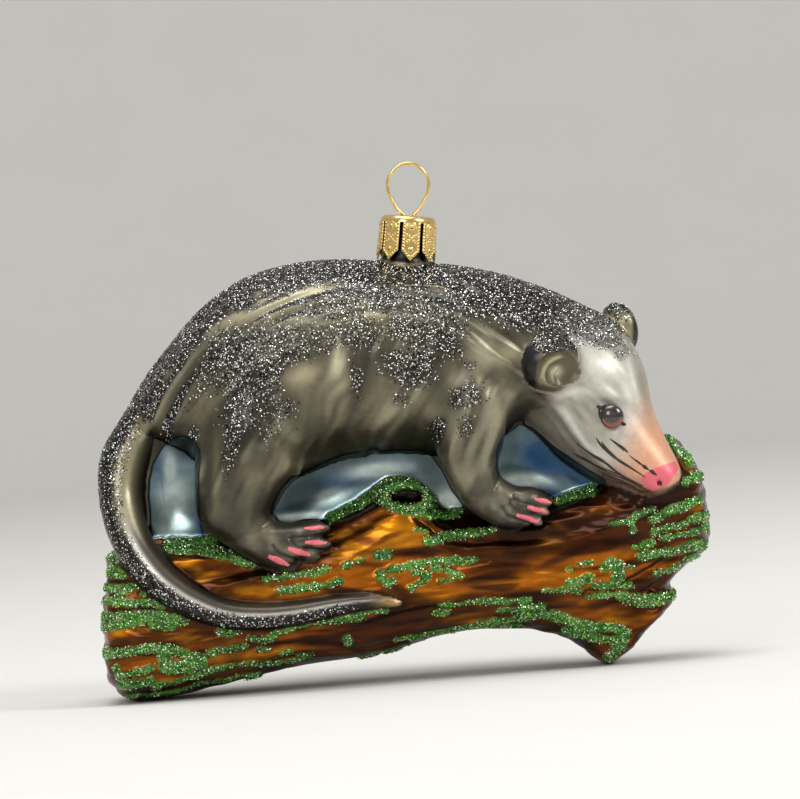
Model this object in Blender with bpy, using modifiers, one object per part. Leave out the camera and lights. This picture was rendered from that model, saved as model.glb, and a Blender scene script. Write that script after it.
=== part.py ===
"""A blown-glass hanging ornament: an opossum that walks along a mossy log, with a crown cap and a wire ring.

The tables below are in millimetres and the mesh is in metres. X runs along the log towards the nose, Z is up and
-Y is the near side, where the tail lies across the log. The ornament stands on two small flats at z = 0, one under
the log's left end and one under the branch stub. The glass is one blown piece, which is parted here where a person
would name its parts. A near leg and its paw are mirrored to the far side, with another stride.

Each form is a loft through sections. A section is an oval between an upper and a lower edge point in the XZ plane,
with a middle in Y and a half depth along Y:
    (upper x, upper z, lower x, lower z, middle y, half depth)
"""
import math

import bmesh
import bpy
import numpy as np
from mathutils import Matrix, Vector
from mathutils.bvhtree import BVHTree

MM = 0.001
GAP = 0.3

# Driving sizes
BODY_DEPTH = 44.0
LOG_DEPTH = 34.0
PANEL_DEPTH = 14.0
LEG_MIDDLE = 13.5
CAP_HEIGHT = 9.3
CAP_SHOULDER_RADIUS = 5.85
CAP_SKIRT_RADIUS = 6.15
CAP_SHEET = 0.5
CAP_TILT = math.radians(8.5)
CAP_BASE = (5.1, 0.0, 85.9)
PETALS = 8
PETAL_TURN = math.radians(8.6)
PETAL_POINT = 2.2
SLIT_HALF = math.radians(2.6)
WIRE_DIAMETER = 0.7
RING_TILT = math.radians(3.2)
LOOP_WIDTH = 9.2
LOOP_HEIGHT = 11.2
EYE_RADIUS = 2.5

# How finely a form is cut up: sections added between two given ones, and points round a section
STEPS = 1
BODY_SIDES = 24
LIMB_SIDES = 14
PAW_SIDES = 12
TOE_SIDES = 6
STUB_SIDES = 18
PANEL_SIDES = 16

# The bark: grooves along the log, how deep they are, and how far they wander round it
BARK_GROOVES = 12
BARK_DEPTH = 1.3
BARK_WANDER = math.radians(8)
SIDES_PER_GROOVE = 3

HALF_BODY = BODY_DEPTH / 2
HALF_LOG = LOG_DEPTH / 2
HALF_PANEL = PANEL_DEPTH / 2

TRUNK = [
    (-56.2, 57.7, -45.0, 52.1, 0.0, 0.39 * HALF_BODY),
    (-51.4, 65.0, -39.1, 46.7, 0.0, 0.61 * HALF_BODY),
    (-45.3, 72.0, -32.1, 43.6, 0.0, 0.80 * HALF_BODY),
    (-38.1, 79.2, -25.4, 41.9, 0.0, 0.91 * HALF_BODY),
    (-29.2, 84.7, -18.5, 43.0, 0.0, 0.98 * HALF_BODY),
    (-18.7, 87.2, -11.3, 45.3, 0.0, HALF_BODY),
    (-7.3, 87.3, -4.2, 46.0, 0.0, HALF_BODY),
    (4.0, 85.7, 3.4, 45.8, 0.0, 0.98 * HALF_BODY),
    (14.2, 84.5, 12.0, 44.3, 0.0, 0.93 * HALF_BODY),
    (24.3, 81.8, 19.8, 46.0, 0.0, 0.86 * HALF_BODY),
    (33.3, 78.1, 25.2, 50.4, 0.0, 0.80 * HALF_BODY),
    (39.8, 74.7, 28.8, 49.4, -1.0, 0.73 * HALF_BODY),
    (44.2, 71.9, 31.6, 46.6, -1.5, 0.64 * HALF_BODY),
]
NECK_STARTS_AT = 9
HEAD = [
    (39.0, 74.8, 26.3, 49.7, -1.0, 14.5),
    (44.2, 72.3, 29.4, 47.0, -2.0, 14.5),
    (49.0, 67.8, 32.2, 43.9, -3.0, 14.0),
    (52.3, 60.3, 36.7, 40.4, -5.0, 12.4),
    (53.0, 53.4, 39.8, 38.1, -6.5, 11.0),
    (54.1, 48.8, 42.6, 36.9, -8.0, 9.6),
    (56.2, 43.4, 47.0, 35.1, -10.8, 7.2),
    (57.5, 39.8, 50.5, 34.1, -12.4, 5.6),
    (57.6, 37.7, 52.9, 34.2, -13.4, 4.3),
    (56.8, 36.3, 54.9, 35.1, -14.0, 2.0),
]
LOG = [
    (-62.0, 23.7, -63.2, 8.1, 0.0, 0.53 * HALF_LOG),
    (-60.4, 30.1, -61.8, 2.4, 0.0, 0.82 * HALF_LOG),
    (-54.5, 33.4, -56.4, -0.6, 0.0, 0.97 * HALF_LOG),
    (-43.6, 33.6, -45.6, 0.6, 0.0, HALF_LOG),
    (-31.3, 32.4, -33.2, 3.0, 0.0, HALF_LOG),
    (-19.8, 33.6, -20.7, 4.7, 0.0, HALF_LOG),
    (-10.4, 36.9, -11.1, 5.4, 0.0, HALF_LOG),
    (0.2, 42.2, -1.0, 6.9, 0.0, HALF_LOG),
    (9.6, 34.6, 8.0, 8.5, 0.0, 0.98 * HALF_LOG),
    (18.4, 34.4, 16.4, 8.9, 0.0, 0.96 * HALF_LOG),
    (29.4, 35.1, 26.4, 8.0, 0.0, 0.94 * HALF_LOG),
    (41.5, 38.6, 38.2, 7.4, 0.0, 0.93 * HALF_LOG),
    (51.5, 44.4, 48.0, 11.2, 0.0, 0.88 * HALF_LOG),
    (56.7, 45.4, 54.6, 16.1, 0.0, 0.82 * HALF_LOG),
    (60.4, 41.6, 59.9, 20.2, 0.0, 0.74 * HALF_LOG),
    (62.5, 35.3, 62.4, 22.7, 0.0, 0.53 * HALF_LOG),
    (63.2, 30.2, 63.2, 25.3, 0.0, 0.24 * HALF_LOG),
]
STUB = [
    (32.2, 25.1, 24.6, 8.1, 0.0, 12.5),
    (40.2, 22.4, 29.9, 6.5, 0.0, 12.5),
    (48.2, 19.0, 34.6, 3.6, 0.0, 12.2),
    (53.0, 16.2, 37.9, 0.7, 0.0, 11.5),
    (55.0, 13.5, 39.5, -0.5, 0.0, 10.5),
    (54.6, 11.9, 41.2, -0.3, 0.0, 8.6),
]
HIND_LEG = [
    (-34.4, 66.1, -24.9, 66.6, -LEG_MIDDLE, 5.0),
    (-38.3, 58.6, -21.0, 58.2, -LEG_MIDDLE, 8.4),
    (-40.8, 50.5, -18.8, 46.3, -LEG_MIDDLE, 9.0),
    (-41.6, 43.3, -22.7, 41.4, -LEG_MIDDLE, 8.6),
    (-41.6, 37.8, -25.1, 37.5, -LEG_MIDDLE, 7.6),
    (-39.8, 33.6, -26.1, 35.1, -LEG_MIDDLE, 6.5),
    (-37.0, 31.4, -25.0, 34.2, -LEG_MIDDLE, 5.5),
]
HIND_PAW = [
    (-38.7, 32.9, -28.5, 36.1, -LEG_MIDDLE, 4.6),
    (-34.0, 29.4, -23.9, 34.9, -14.0, 4.8),
    (-29.0, 26.4, -19.8, 34.8, -14.5, 4.4),
    (-24.7, 25.0, -16.4, 34.7, -15.0, 3.8),
    (-22.0, 26.0, -15.9, 32.6, -15.0, 2.4),
]
HIND_TOES = [
    ((-20.5, 33.2), (-14.3, 32.9)),
    ((-20.6, 30.4), (-14.4, 29.6)),
    ((-24.0, 29.6), (-17.7, 27.0)),
    ((-28.4, 28.6), (-22.2, 25.1)),
]
FORELEG = [
    (9.9, 67.1, 21.1, 67.3, -LEG_MIDDLE, 5.0),
    (7.5, 58.0, 24.0, 57.8, -LEG_MIDDLE, 8.0),
    (7.6, 48.7, 22.4, 48.2, -LEG_MIDDLE, 7.6),
    (9.4, 42.8, 20.8, 43.5, -LEG_MIDDLE, 6.6),
    (11.7, 37.9, 21.0, 40.2, -LEG_MIDDLE, 6.0),
    (13.6, 35.2, 21.9, 38.5, -LEG_MIDDLE, 5.0),
]
FORE_PAW = [
    (12.0, 36.6, 21.0, 40.6, -LEG_MIDDLE, 4.6),
    (15.0, 33.1, 23.9, 38.6, -14.2, 4.4),
    (19.6, 30.4, 27.4, 38.1, -14.8, 4.0),
    (23.6, 30.0, 29.0, 36.6, -15.2, 3.2),
    (26.0, 31.0, 29.4, 34.9, -15.3, 1.8),
]
FORE_TOES = [
    ((25.4, 36.0), (31.0, 34.2)),
    ((24.4, 34.4), (30.4, 32.2)),
    ((22.4, 32.8), (28.8, 30.2)),
    ((19.6, 32.4), (25.2, 30.2)),
]
TOE_MIDDLE = 15.6
TOE_RADIUS = 1.75
TOE_TIP_RADIUS = 1.15

# The tail's own table: middle x, middle z, half width in the XZ plane, middle y, half depth
TAIL = [
    (-48.6, 62.6, 3.0, -1.0, 7.0),
    (-52.6, 55.3, 4.6, -2.0, 7.0),
    (-55.8, 49.2, 5.1, -4.0, 6.5),
    (-56.9, 43.1, 4.6, -6.0, 6.0),
    (-56.2, 36.5, 4.4, -9.5, 5.5),
    (-53.8, 30.5, 4.1, -12.5, 4.5),
    (-49.9, 25.2, 3.7, -15.0, 3.8),
    (-44.2, 20.6, 3.3, -16.2, 3.3),
    (-37.5, 17.4, 2.8, -17.0, 2.8),
    (-30.1, 16.2, 2.6, -17.0, 2.6),
    (-22.3, 16.3, 2.3, -16.8, 2.3),
    (-13.9, 17.2, 1.9, -16.7, 1.9),
    (-6.5, 17.4, 1.3, -16.6, 1.3),
    (-1.4, 16.2, 0.6, -16.5, 0.6),
]
TAIL_LENGTHS = {"tail_base": (0, 5), "tail_middle": (5, 9), "tail_tip": (9, 13)}

# The web of glass that closes the space between the legs, from the tail to the cheek
WEB = [
    (-54.5, 50.5, -55.0, 34.0, -2.0, 0.5 * HALF_PANEL),
    (-47.0, 57.0, -46.0, 27.0, 0.0, HALF_PANEL),
    (-31.5, 55.0, -31.0, 26.0, 0.0, HALF_PANEL),
    (-10.0, 53.0, -10.0, 27.0, 0.0, HALF_PANEL),
    (14.8, 53.0, 15.0, 28.0, 0.0, HALF_PANEL),
    (30.0, 55.0, 30.0, 29.0, 0.0, HALF_PANEL),
    (46.0, 45.0, 46.0, 32.0, 0.0, HALF_PANEL),
]
WEB_LENGTHS = {"panel_rear": (0, 2), "panel_middle": (2, 4), "panel_front": (4, 6)}

# The ears and the cups in them: middle, three radii (up, sideways, out) and the way they face
EAR_NEAR = ((32.8, -15.5, 62.8), (5.8, 6.4, 4.4), (0.35, -1.0, 0.0))
CUP_NEAR = ((34.8, -19.4, 61.2), (3.7, 4.1, 3.0), (0.35, -1.0, 0.0))
EAR_FAR = ((48.0, 4.2, 68.4), (5.7, 5.2, 3.2), (0.8, 0.55, 0.15))
CUP_FAR = ((50.4, 6.0, 69.2), (3.8, 3.5, 2.2), (0.8, 0.55, 0.15))
EYE_NEAR = (44.3, 51.0)
EYE_FAR = (49.0, 53.5)

# The knot on both faces of the log's ridge, and how far its ring and its hole reach in X and Z
KNOT_MIDDLE = (1.2, 37.6)
KNOT_REACH = (5.6, 3.4)
KNOT_HOLE = (3.8, 1.9)
KNOT_RISE = 1.6
KNOT_FACES_UP = 0.25
BORE_RADIUS = 2.0
FLOOR_SIZE = 200.0
FAR_HIND_STRIDE = -5.0
FAR_FORE_STRIDE = 6.0


def material(name, colour, metallic, roughness):
    """One finish, made once and shared by the objects that wear it."""
    made = bpy.data.materials.new(name)
    made.use_nodes = True
    shader = made.node_tree.nodes["Principled BSDF"]
    shader.inputs["Base Color"].default_value = (*colour, 1.0)
    shader.inputs["Metallic"].default_value = metallic
    shader.inputs["Roughness"].default_value = roughness
    made.diffuse_color = (*colour, 1.0)
    return made


def wear(target, finish):
    """Gives an object's mesh its one finish, shaded smooth."""
    target.data.materials.clear()
    target.data.materials.append(finish)
    target.data.shade_smooth()


def add_object(name, mesh, finish):
    """Puts a mesh into the ornament's collection as the object called name."""
    made = bpy.data.objects.new(name, mesh)
    bpy.data.collections["opossum_ornament"].objects.link(made)
    wear(made, finish)
    return made


def add_form(name, mesh):
    """Keeps a plain closed form as a guide: a node starts from it, and its neighbours are cut back to it."""
    made = bpy.data.objects.new("form_" + name, mesh)
    bpy.data.collections["cutters"].objects.link(made)
    made.hide_render = True
    made.display_type = "WIRE"
    return made


def mesh_from(work, name):
    """Turns a bmesh with closed surfaces into a triangle mesh whose faces point out."""
    bmesh.ops.triangulate(work, faces=work.faces)
    bmesh.ops.recalc_face_normals(work, faces=work.faces)
    mesh = bpy.data.meshes.new(name)
    work.to_mesh(mesh)
    work.free()
    return mesh


def resampled(sections, steps):
    """Adds sections on a smooth Catmull-Rom curve through the given ones."""
    given = np.array(sections, dtype=float)
    padded = np.vstack([2 * given[0] - given[1], given, 2 * given[-1] - given[-2]])
    rows = []
    for index in range(1, len(padded) - 2):
        before, start, end, after = padded[index - 1:index + 3]
        for step in range(steps + 1):
            t = step / (steps + 1)
            bend = 2 * before - 5 * start + 4 * end - after
            twist = 3 * start - before - 3 * end + after
            rows.append(start + 0.5 * t * (end - before + t * (bend + t * twist)))
    rows.append(given[-1])
    return np.array(rows)


def shortened(rows, cut_start, cut_end):
    """Draws the end sections in by half a gap, where the form meets the next length of itself."""
    rows = rows.copy()
    for wanted, end, inner in ((cut_start, 0, 1), (cut_end, -1, -2)):
        if wanted:
            step = np.linalg.norm((rows[end, 0:2] + rows[end, 2:4] - rows[inner, 0:2] - rows[inner, 2:4]) / 2)
            rows[end] += (rows[inner] - rows[end]) * (GAP / 2 / step)
    return rows


def signed_power(value, power):
    return math.copysign(abs(value) ** power, value)


def plain_outline(round_share, length_share):
    """Spaces a section's points evenly, all on its outline."""
    return 2 * math.pi * round_share, 1.0


def bark_outline(round_share, length_share):
    """Draws a section's points in along wandering grooves, which fade at the log's ends, top and bottom."""
    turn = 2 * math.pi
    angle = turn * round_share + BARK_WANDER * math.sin(turn * (2 * length_share + 3 * round_share))
    groove = BARK_GROOVES * round_share
    to_groove = SIDES_PER_GROOVE * abs(groove - round(groove))
    on_face = min(1.0, 1.5 * abs(math.sin(angle)))
    to_end = min(1.0, 6 * length_share, 6 * (1 - length_share))
    varied = 0.75 + 0.25 * math.cos(turn * (3 * length_share - 2 * round_share))
    depth = BARK_DEPTH * max(0.0, 1 - to_groove) * on_face * to_end * varied
    return angle, 1 - depth / HALF_LOG


def loft_mesh(name, rows, sides, squareness, outline=plain_outline):
    """Joins the sections into one closed body. A squareness of 2 makes ellipses, and more makes fuller ovals."""
    work = bmesh.new()
    rings = []
    for row, (upper_x, upper_z, lower_x, lower_z, middle_y, half_depth) in enumerate(rows):
        middle = Vector(((upper_x + lower_x) / 2, middle_y, (upper_z + lower_z) / 2))
        rise = Vector(((upper_x - lower_x) / 2, 0, (upper_z - lower_z) / 2))
        ring = []
        for side in range(sides):
            angle, reach = outline(side / sides, row / (len(rows) - 1))
            along = reach * signed_power(math.cos(angle), 2 / squareness)
            across = reach * signed_power(math.sin(angle), 2 / squareness)
            point = middle + rise * along + Vector((0, half_depth * across, 0))
            ring.append(work.verts.new(point * MM))
        rings.append(ring)
    for near, far in zip(rings, rings[1:]):
        for side in range(sides):
            after = (side + 1) % sides
            work.faces.new((near[side], near[after], far[after], far[side]))
    work.faces.new(rings[0])
    work.faces.new(rings[-1])
    bmesh.ops.poke(work, faces=[face for face in work.faces if len(face.verts) > 4])
    return mesh_from(work, name)


def loft(name, sections, sides=LIMB_SIDES, steps=STEPS, squareness=2.0, outline=plain_outline):
    """A whole form lofted through its sections."""
    return add_form(name, loft_mesh(name, resampled(sections, steps), sides, squareness, outline))


def loft_length(name, sections, span, sides, squareness=2.0):
    """One length of a form, from one given section to another, with half a gap at each cut."""
    first, last = span
    rows = resampled(sections, STEPS)[first * (STEPS + 1):last * (STEPS + 1) + 1]
    rows = shortened(rows, first > 0, last < len(sections) - 1)
    return add_form(name, loft_mesh(name, rows, sides, squareness))


def ellipsoid(name, middle, radii, facing, segments=16, rings=10):
    """A ball with three radii. The third one lies along facing."""
    work = bmesh.new()
    bmesh.ops.create_uvsphere(work, u_segments=segments, v_segments=rings, radius=1.0)
    turn = Vector(facing).to_track_quat("Z", "X").to_matrix().to_4x4()
    size = Matrix.Diagonal((*(radius * MM for radius in radii), 1.0))
    work.transform(Matrix.Translation(Vector(middle) * MM) @ turn @ size)
    return add_form(name, mesh_from(work, name))


def evaluated_mesh(target):
    """The mesh that an object's modifiers or its curve make, in world space."""
    bpy.context.view_layer.update()
    graph = bpy.context.evaluated_depsgraph_get()
    mesh = bpy.data.meshes.new_from_object(target.evaluated_get(graph))
    mesh.transform(target.matrix_world)
    return mesh


def discard(*unwanted):
    for each in unwanted:
        bpy.data.objects.remove(each)


def combine(target, tool, operation):
    """Applies one Boolean to target and leaves tool as it is."""
    modifier = target.modifiers.new(operation, "BOOLEAN")
    modifier.operation = operation
    modifier.solver = "EXACT"
    modifier.object = tool
    mesh = evaluated_mesh(target)
    target.modifiers.clear()
    target.data = mesh


def grown_copy(source):
    """A copy of a form whose surface stands one gap outside it."""
    tool = add_form("grown", source.data.copy())
    work = bmesh.new()
    work.from_mesh(tool.data)
    work.normal_update()
    places = [vert.co + vert.normal * (GAP * MM * min(vert.calc_shell_factor(), 1.5)) for vert in work.verts]
    for vert, place in zip(work.verts, places):
        vert.co = place
    work.to_mesh(tool.data)
    work.free()
    return tool


def keep_largest(target):
    """Drops every closed surface but the one with the most volume."""
    work = bmesh.new()
    work.from_mesh(target.data)
    unseen = set(work.faces)
    pieces = []
    while unseen:
        piece = [unseen.pop()]
        for face in piece:
            near = {other for edge in face.edges for other in edge.link_faces} & unseen
            unseen -= near
            piece.extend(near)
        pieces.append(piece)

    def volume(piece):
        corners = ([vert.co for vert in face.verts] for face in piece)
        return sum(c[0].dot(c[i].cross(c[i + 1])) for c in corners for i in range(1, len(c) - 1))

    pieces.sort(key=volume)
    bmesh.ops.delete(work, geom=[face for piece in pieces[:-1] for face in piece], context="FACES")
    bmesh.ops.dissolve_degenerate(work, dist=1e-6, edges=work.edges)
    target.data = mesh_from(work, target.name)


def make_node(name, finish, forms, neighbours=(), hollows=()):
    """One node: its forms joined, cut back to one gap from its neighbours' forms, with its hollows cut out."""
    node = add_object(name, forms[0].data.copy(), finish)
    for form in forms[1:]:
        combine(node, form, "UNION")
    for neighbour in neighbours:
        tool = grown_copy(neighbour)
        combine(node, tool, "DIFFERENCE")
        discard(tool)
    for hollow in hollows:
        combine(node, hollow, "DIFFERENCE")
    keep_largest(node)
    wear(node, finish)
    return node


def mirrored(sections, stride):
    """Far-side sections: the near ones reflected in Y, with the lower ones moved along X by up to the stride."""
    rows = np.array(sections, dtype=float)
    share = np.linspace(0.0, 1.0, len(rows))[:, None]
    rows[:, [0, 2]] += stride * share
    rows[:, 4] *= -1
    return rows


def tail_forms():
    """The tail in three lengths. Its sections stand across its own path in the XZ plane."""
    middles = np.array([(x, z) for x, z, _, _, _ in TAIL])
    along = np.gradient(middles, axis=0)
    along /= np.linalg.norm(along, axis=1)[:, None]
    sections = []
    for (x, z, half_width, y, half_depth), (run_x, run_z) in zip(TAIL, along):
        out_x, out_z = run_z * half_width, -run_x * half_width
        sections.append((x + out_x, z + out_z, x - out_x, z - out_z, y, half_depth))
    return {name: [loft_length(name, sections, span, LIMB_SIDES)] for name, span in TAIL_LENGTHS.items()}


def toe_form(name, root, tip, stride, side):
    """A toe: a round rod that narrows to a blunt tip. root and tip are in the XZ plane."""
    run = Vector((tip[0] - root[0], tip[1] - root[1])).normalized()
    rows = []
    for share, fullness in ((0.0, 0.6), (0.15, 1.0), (0.6, 1.0), (0.9, 0.75), (1.0, 0.35)):
        radius = fullness * (TOE_RADIUS + (TOE_TIP_RADIUS - TOE_RADIUS) * share)
        x = root[0] + (tip[0] - root[0]) * share + stride
        z = root[1] + (tip[1] - root[1]) * share
        out_x, out_z = run.y * radius, -run.x * radius
        rows.append((x + out_x, z + out_z, x - out_x, z - out_z, side * TOE_MIDDLE, radius))
    return loft(name, rows, sides=TOE_SIDES, steps=0)


def paw_forms(name, sections, toes, stride, side):
    """A paw and its four toes. side is -1 for the near side and 1 for the far side."""
    rows = np.array(sections, dtype=float)
    rows[:, [0, 2]] += stride
    rows[:, 4] *= -side
    paw = loft(name, rows, sides=PAW_SIDES)
    return [paw] + [toe_form(f"{name}_toe_{n}", root, tip, stride, side) for n, (root, tip) in enumerate(toes)]


def surface_point(form, x, z, side):
    """Where a line along Y meets the outside of a form, in millimetres, and the normal there."""
    tree = BVHTree.FromPolygons([v.co for v in form.data.vertices], [p.vertices for p in form.data.polygons])
    start = Vector((x, side * BODY_DEPTH, z)) * MM
    place, normal, _, _ = tree.ray_cast(start, Vector((0, -side, 0)))
    return place / MM, normal


def eye_form(name, head, place_xz, side):
    """A low dome let into the head."""
    place, normal = surface_point(head, *place_xz, side)
    return ellipsoid(name, place, (EYE_RADIUS, 0.94 * EYE_RADIUS, 0.55 * EYE_RADIUS), normal, 14, 8)


def knot_forms(log):
    """The raised ring of a knot on both faces of the log's ridge, and the shallow holes that it surrounds."""
    x, z = KNOT_MIDDLE
    rings, holes = [], []
    for side in (-1, 1):
        place, _ = surface_point(log, x, z, side)
        facing = (0, side, KNOT_FACES_UP)
        reach_x, reach_z = KNOT_REACH
        hole_x, hole_z = KNOT_HOLE
        rings.append(ellipsoid("knot_ring", place, (reach_z, reach_x, KNOT_RISE), facing, 12, 6))
        outer = place + Vector(facing).normalized() * KNOT_RISE
        holes.append(ellipsoid("knot_hole", outer, (hole_z, hole_x, 2 * KNOT_RISE), facing, 10, 6))
    return rings, holes


def floor_form():
    """The space under z = 0, which cuts the feet off level."""
    work = bmesh.new()
    bmesh.ops.create_cube(work, size=FLOOR_SIZE * MM)
    work.transform(Matrix.Translation((0, 0, -FLOOR_SIZE / 2 * MM)))
    return add_form("floor", mesh_from(work, "floor"))


def place_in_cap(target):
    """Sets a piece that is modelled upright at the origin onto the leaning axis of the cap."""
    target.location = Vector(CAP_BASE) * MM
    target.rotation_euler = (0, CAP_TILT, 0)


def glass_neck_form():
    """The neck that the ornament was blown through: a flared tube with a blind bore, turned from its profile."""
    bore_top = CAP_HEIGHT - 1.1
    bore_floor = -1.5
    root = -6.0
    profile = [
        (0.0, bore_floor), (BORE_RADIUS, bore_floor), (BORE_RADIUS, bore_top), (4.3, bore_top),
        (4.6, bore_top - 0.3), (4.8, 3.0), (5.0, 0.6), (5.5, -0.5), (6.2, -1.3), (7.0, -2.4), (7.0, root), (0.0, root),
    ]
    mesh = bpy.data.meshes.new("glass_neck")
    points = [(radius * MM, 0, height * MM) for radius, height in profile]
    mesh.from_pydata(points, [(i, i + 1) for i in range(len(points) - 1)], [])
    neck = add_form("glass_neck", mesh)
    turn = neck.modifiers.new("turn", "SCREW")
    turn.steps = turn.render_steps = 28
    turn.use_merge_vertices = True
    turn.merge_threshold = 1e-6
    place_in_cap(neck)
    work = bmesh.new()
    work.from_mesh(evaluated_mesh(neck))
    neck.modifiers.clear()
    neck.location = neck.rotation_euler = (0, 0, 0)
    neck.data = mesh_from(work, "glass_neck")
    return neck


def make_cap(finish):
    """The crown cap: a thin sheet with a round hole in its top, slit below the shoulder into pointed petals."""
    shoulder_down = 1.4
    rim = [(BORE_RADIUS, 0.0), (4.8, 0.0), (5.45, 0.35), (CAP_SHOULDER_RADIUS, shoulder_down)]
    skirt = [(CAP_SHOULDER_RADIUS + 0.05, 4.0)]
    columns = (-1.0, 0.0, 1.0)
    work = bmesh.new()
    petals = []
    for petal in range(PETALS):
        middle = -math.pi / 2 + PETAL_TURN + 2 * math.pi * petal / PETALS
        strips = []
        for column in columns:
            angle = middle + column * (math.pi / PETALS - SLIT_HALF)
            bottom = (CAP_SKIRT_RADIUS, CAP_HEIGHT - PETAL_POINT * abs(column))
            above = (CAP_SKIRT_RADIUS - 0.15, CAP_HEIGHT - PETAL_POINT - 0.8)
            strip = [
                work.verts.new((r * math.cos(angle) * MM, r * math.sin(angle) * MM, (CAP_HEIGHT - down) * MM))
                for r, down in (*rim, *skirt, above, bottom)
            ]
            strips.append(strip)
        petals.append(strips)
    for petal, strips in enumerate(petals):
        for left, right in zip(strips, strips[1:]):
            for row in range(len(left) - 1):
                work.faces.new((left[row], left[row + 1], right[row + 1], right[row]))
        left, right = strips[-1], petals[(petal + 1) % PETALS][0]
        for row in range(len(rim) - 1):
            work.faces.new((left[row], left[row + 1], right[row + 1], right[row]))
    mesh = bpy.data.meshes.new("crown_cap")
    work.to_mesh(mesh)
    work.free()
    cap = add_object("crown_cap", mesh, finish)
    sheet = cap.modifiers.new("sheet", "SOLIDIFY")
    sheet.thickness = CAP_SHEET * MM
    sheet.offset = -1
    sheet.use_even_offset = True
    place_in_cap(cap)
    return cap


def make_ring(finish):
    """The wire ring: an egg-shaped loop above the cap, whose two legs run down into the neck's bore.

    Its route is worked out from the middle of the cap's top, which the ring leans about.
    """
    wire = WIRE_DIAMETER / 2
    half_width = LOOP_WIDTH / 2 - wire
    crown = LOOP_HEIGHT - wire
    middle = 0.54 * LOOP_HEIGHT
    turns = 9
    legs = [(0.8, -5.5), (0.85, -3.8), (0.95, -1.9), (1.0, 0.0), (1.45, 0.6)]
    belly = [(2.4, 1.6), (3.2, 3.0), (4.0, 4.6)]
    half = legs + belly
    for step in range(turns + 1):
        angle = math.pi / 2 * step / turns
        half.append((half_width * math.cos(angle), middle + (crown - middle) * math.sin(angle)))
    route = half + [(-x, z) for x, z in reversed(half[:-1])]
    curve = bpy.data.curves.new("hanger_ring", "CURVE")
    curve.dimensions = "3D"
    curve.bevel_depth = wire * MM
    curve.bevel_resolution = 2
    curve.use_fill_caps = True
    spline = curve.splines.new("POLY")
    spline.points.add(len(route) - 1)
    for point, (x, z) in zip(spline.points, route):
        point.co = (x * MM, 0, z * MM, 1)
    ring = bpy.data.objects.new("hanger_ring", curve)
    bpy.data.collections["opossum_ornament"].objects.link(ring)
    curve.materials.append(finish)
    up_the_cap = Vector((math.sin(CAP_TILT), 0, math.cos(CAP_TILT)))
    ring.location = (Vector(CAP_BASE) + up_the_cap * CAP_HEIGHT) * MM
    ring.rotation_euler = (0, RING_TILT, 0)
    return ring


def clear_scene():
    for each in list(bpy.data.objects):
        bpy.data.objects.remove(each)
    for name in ("opossum_ornament", "cutters"):
        group = bpy.data.collections.new(name)
        bpy.context.scene.collection.children.link(group)


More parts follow.
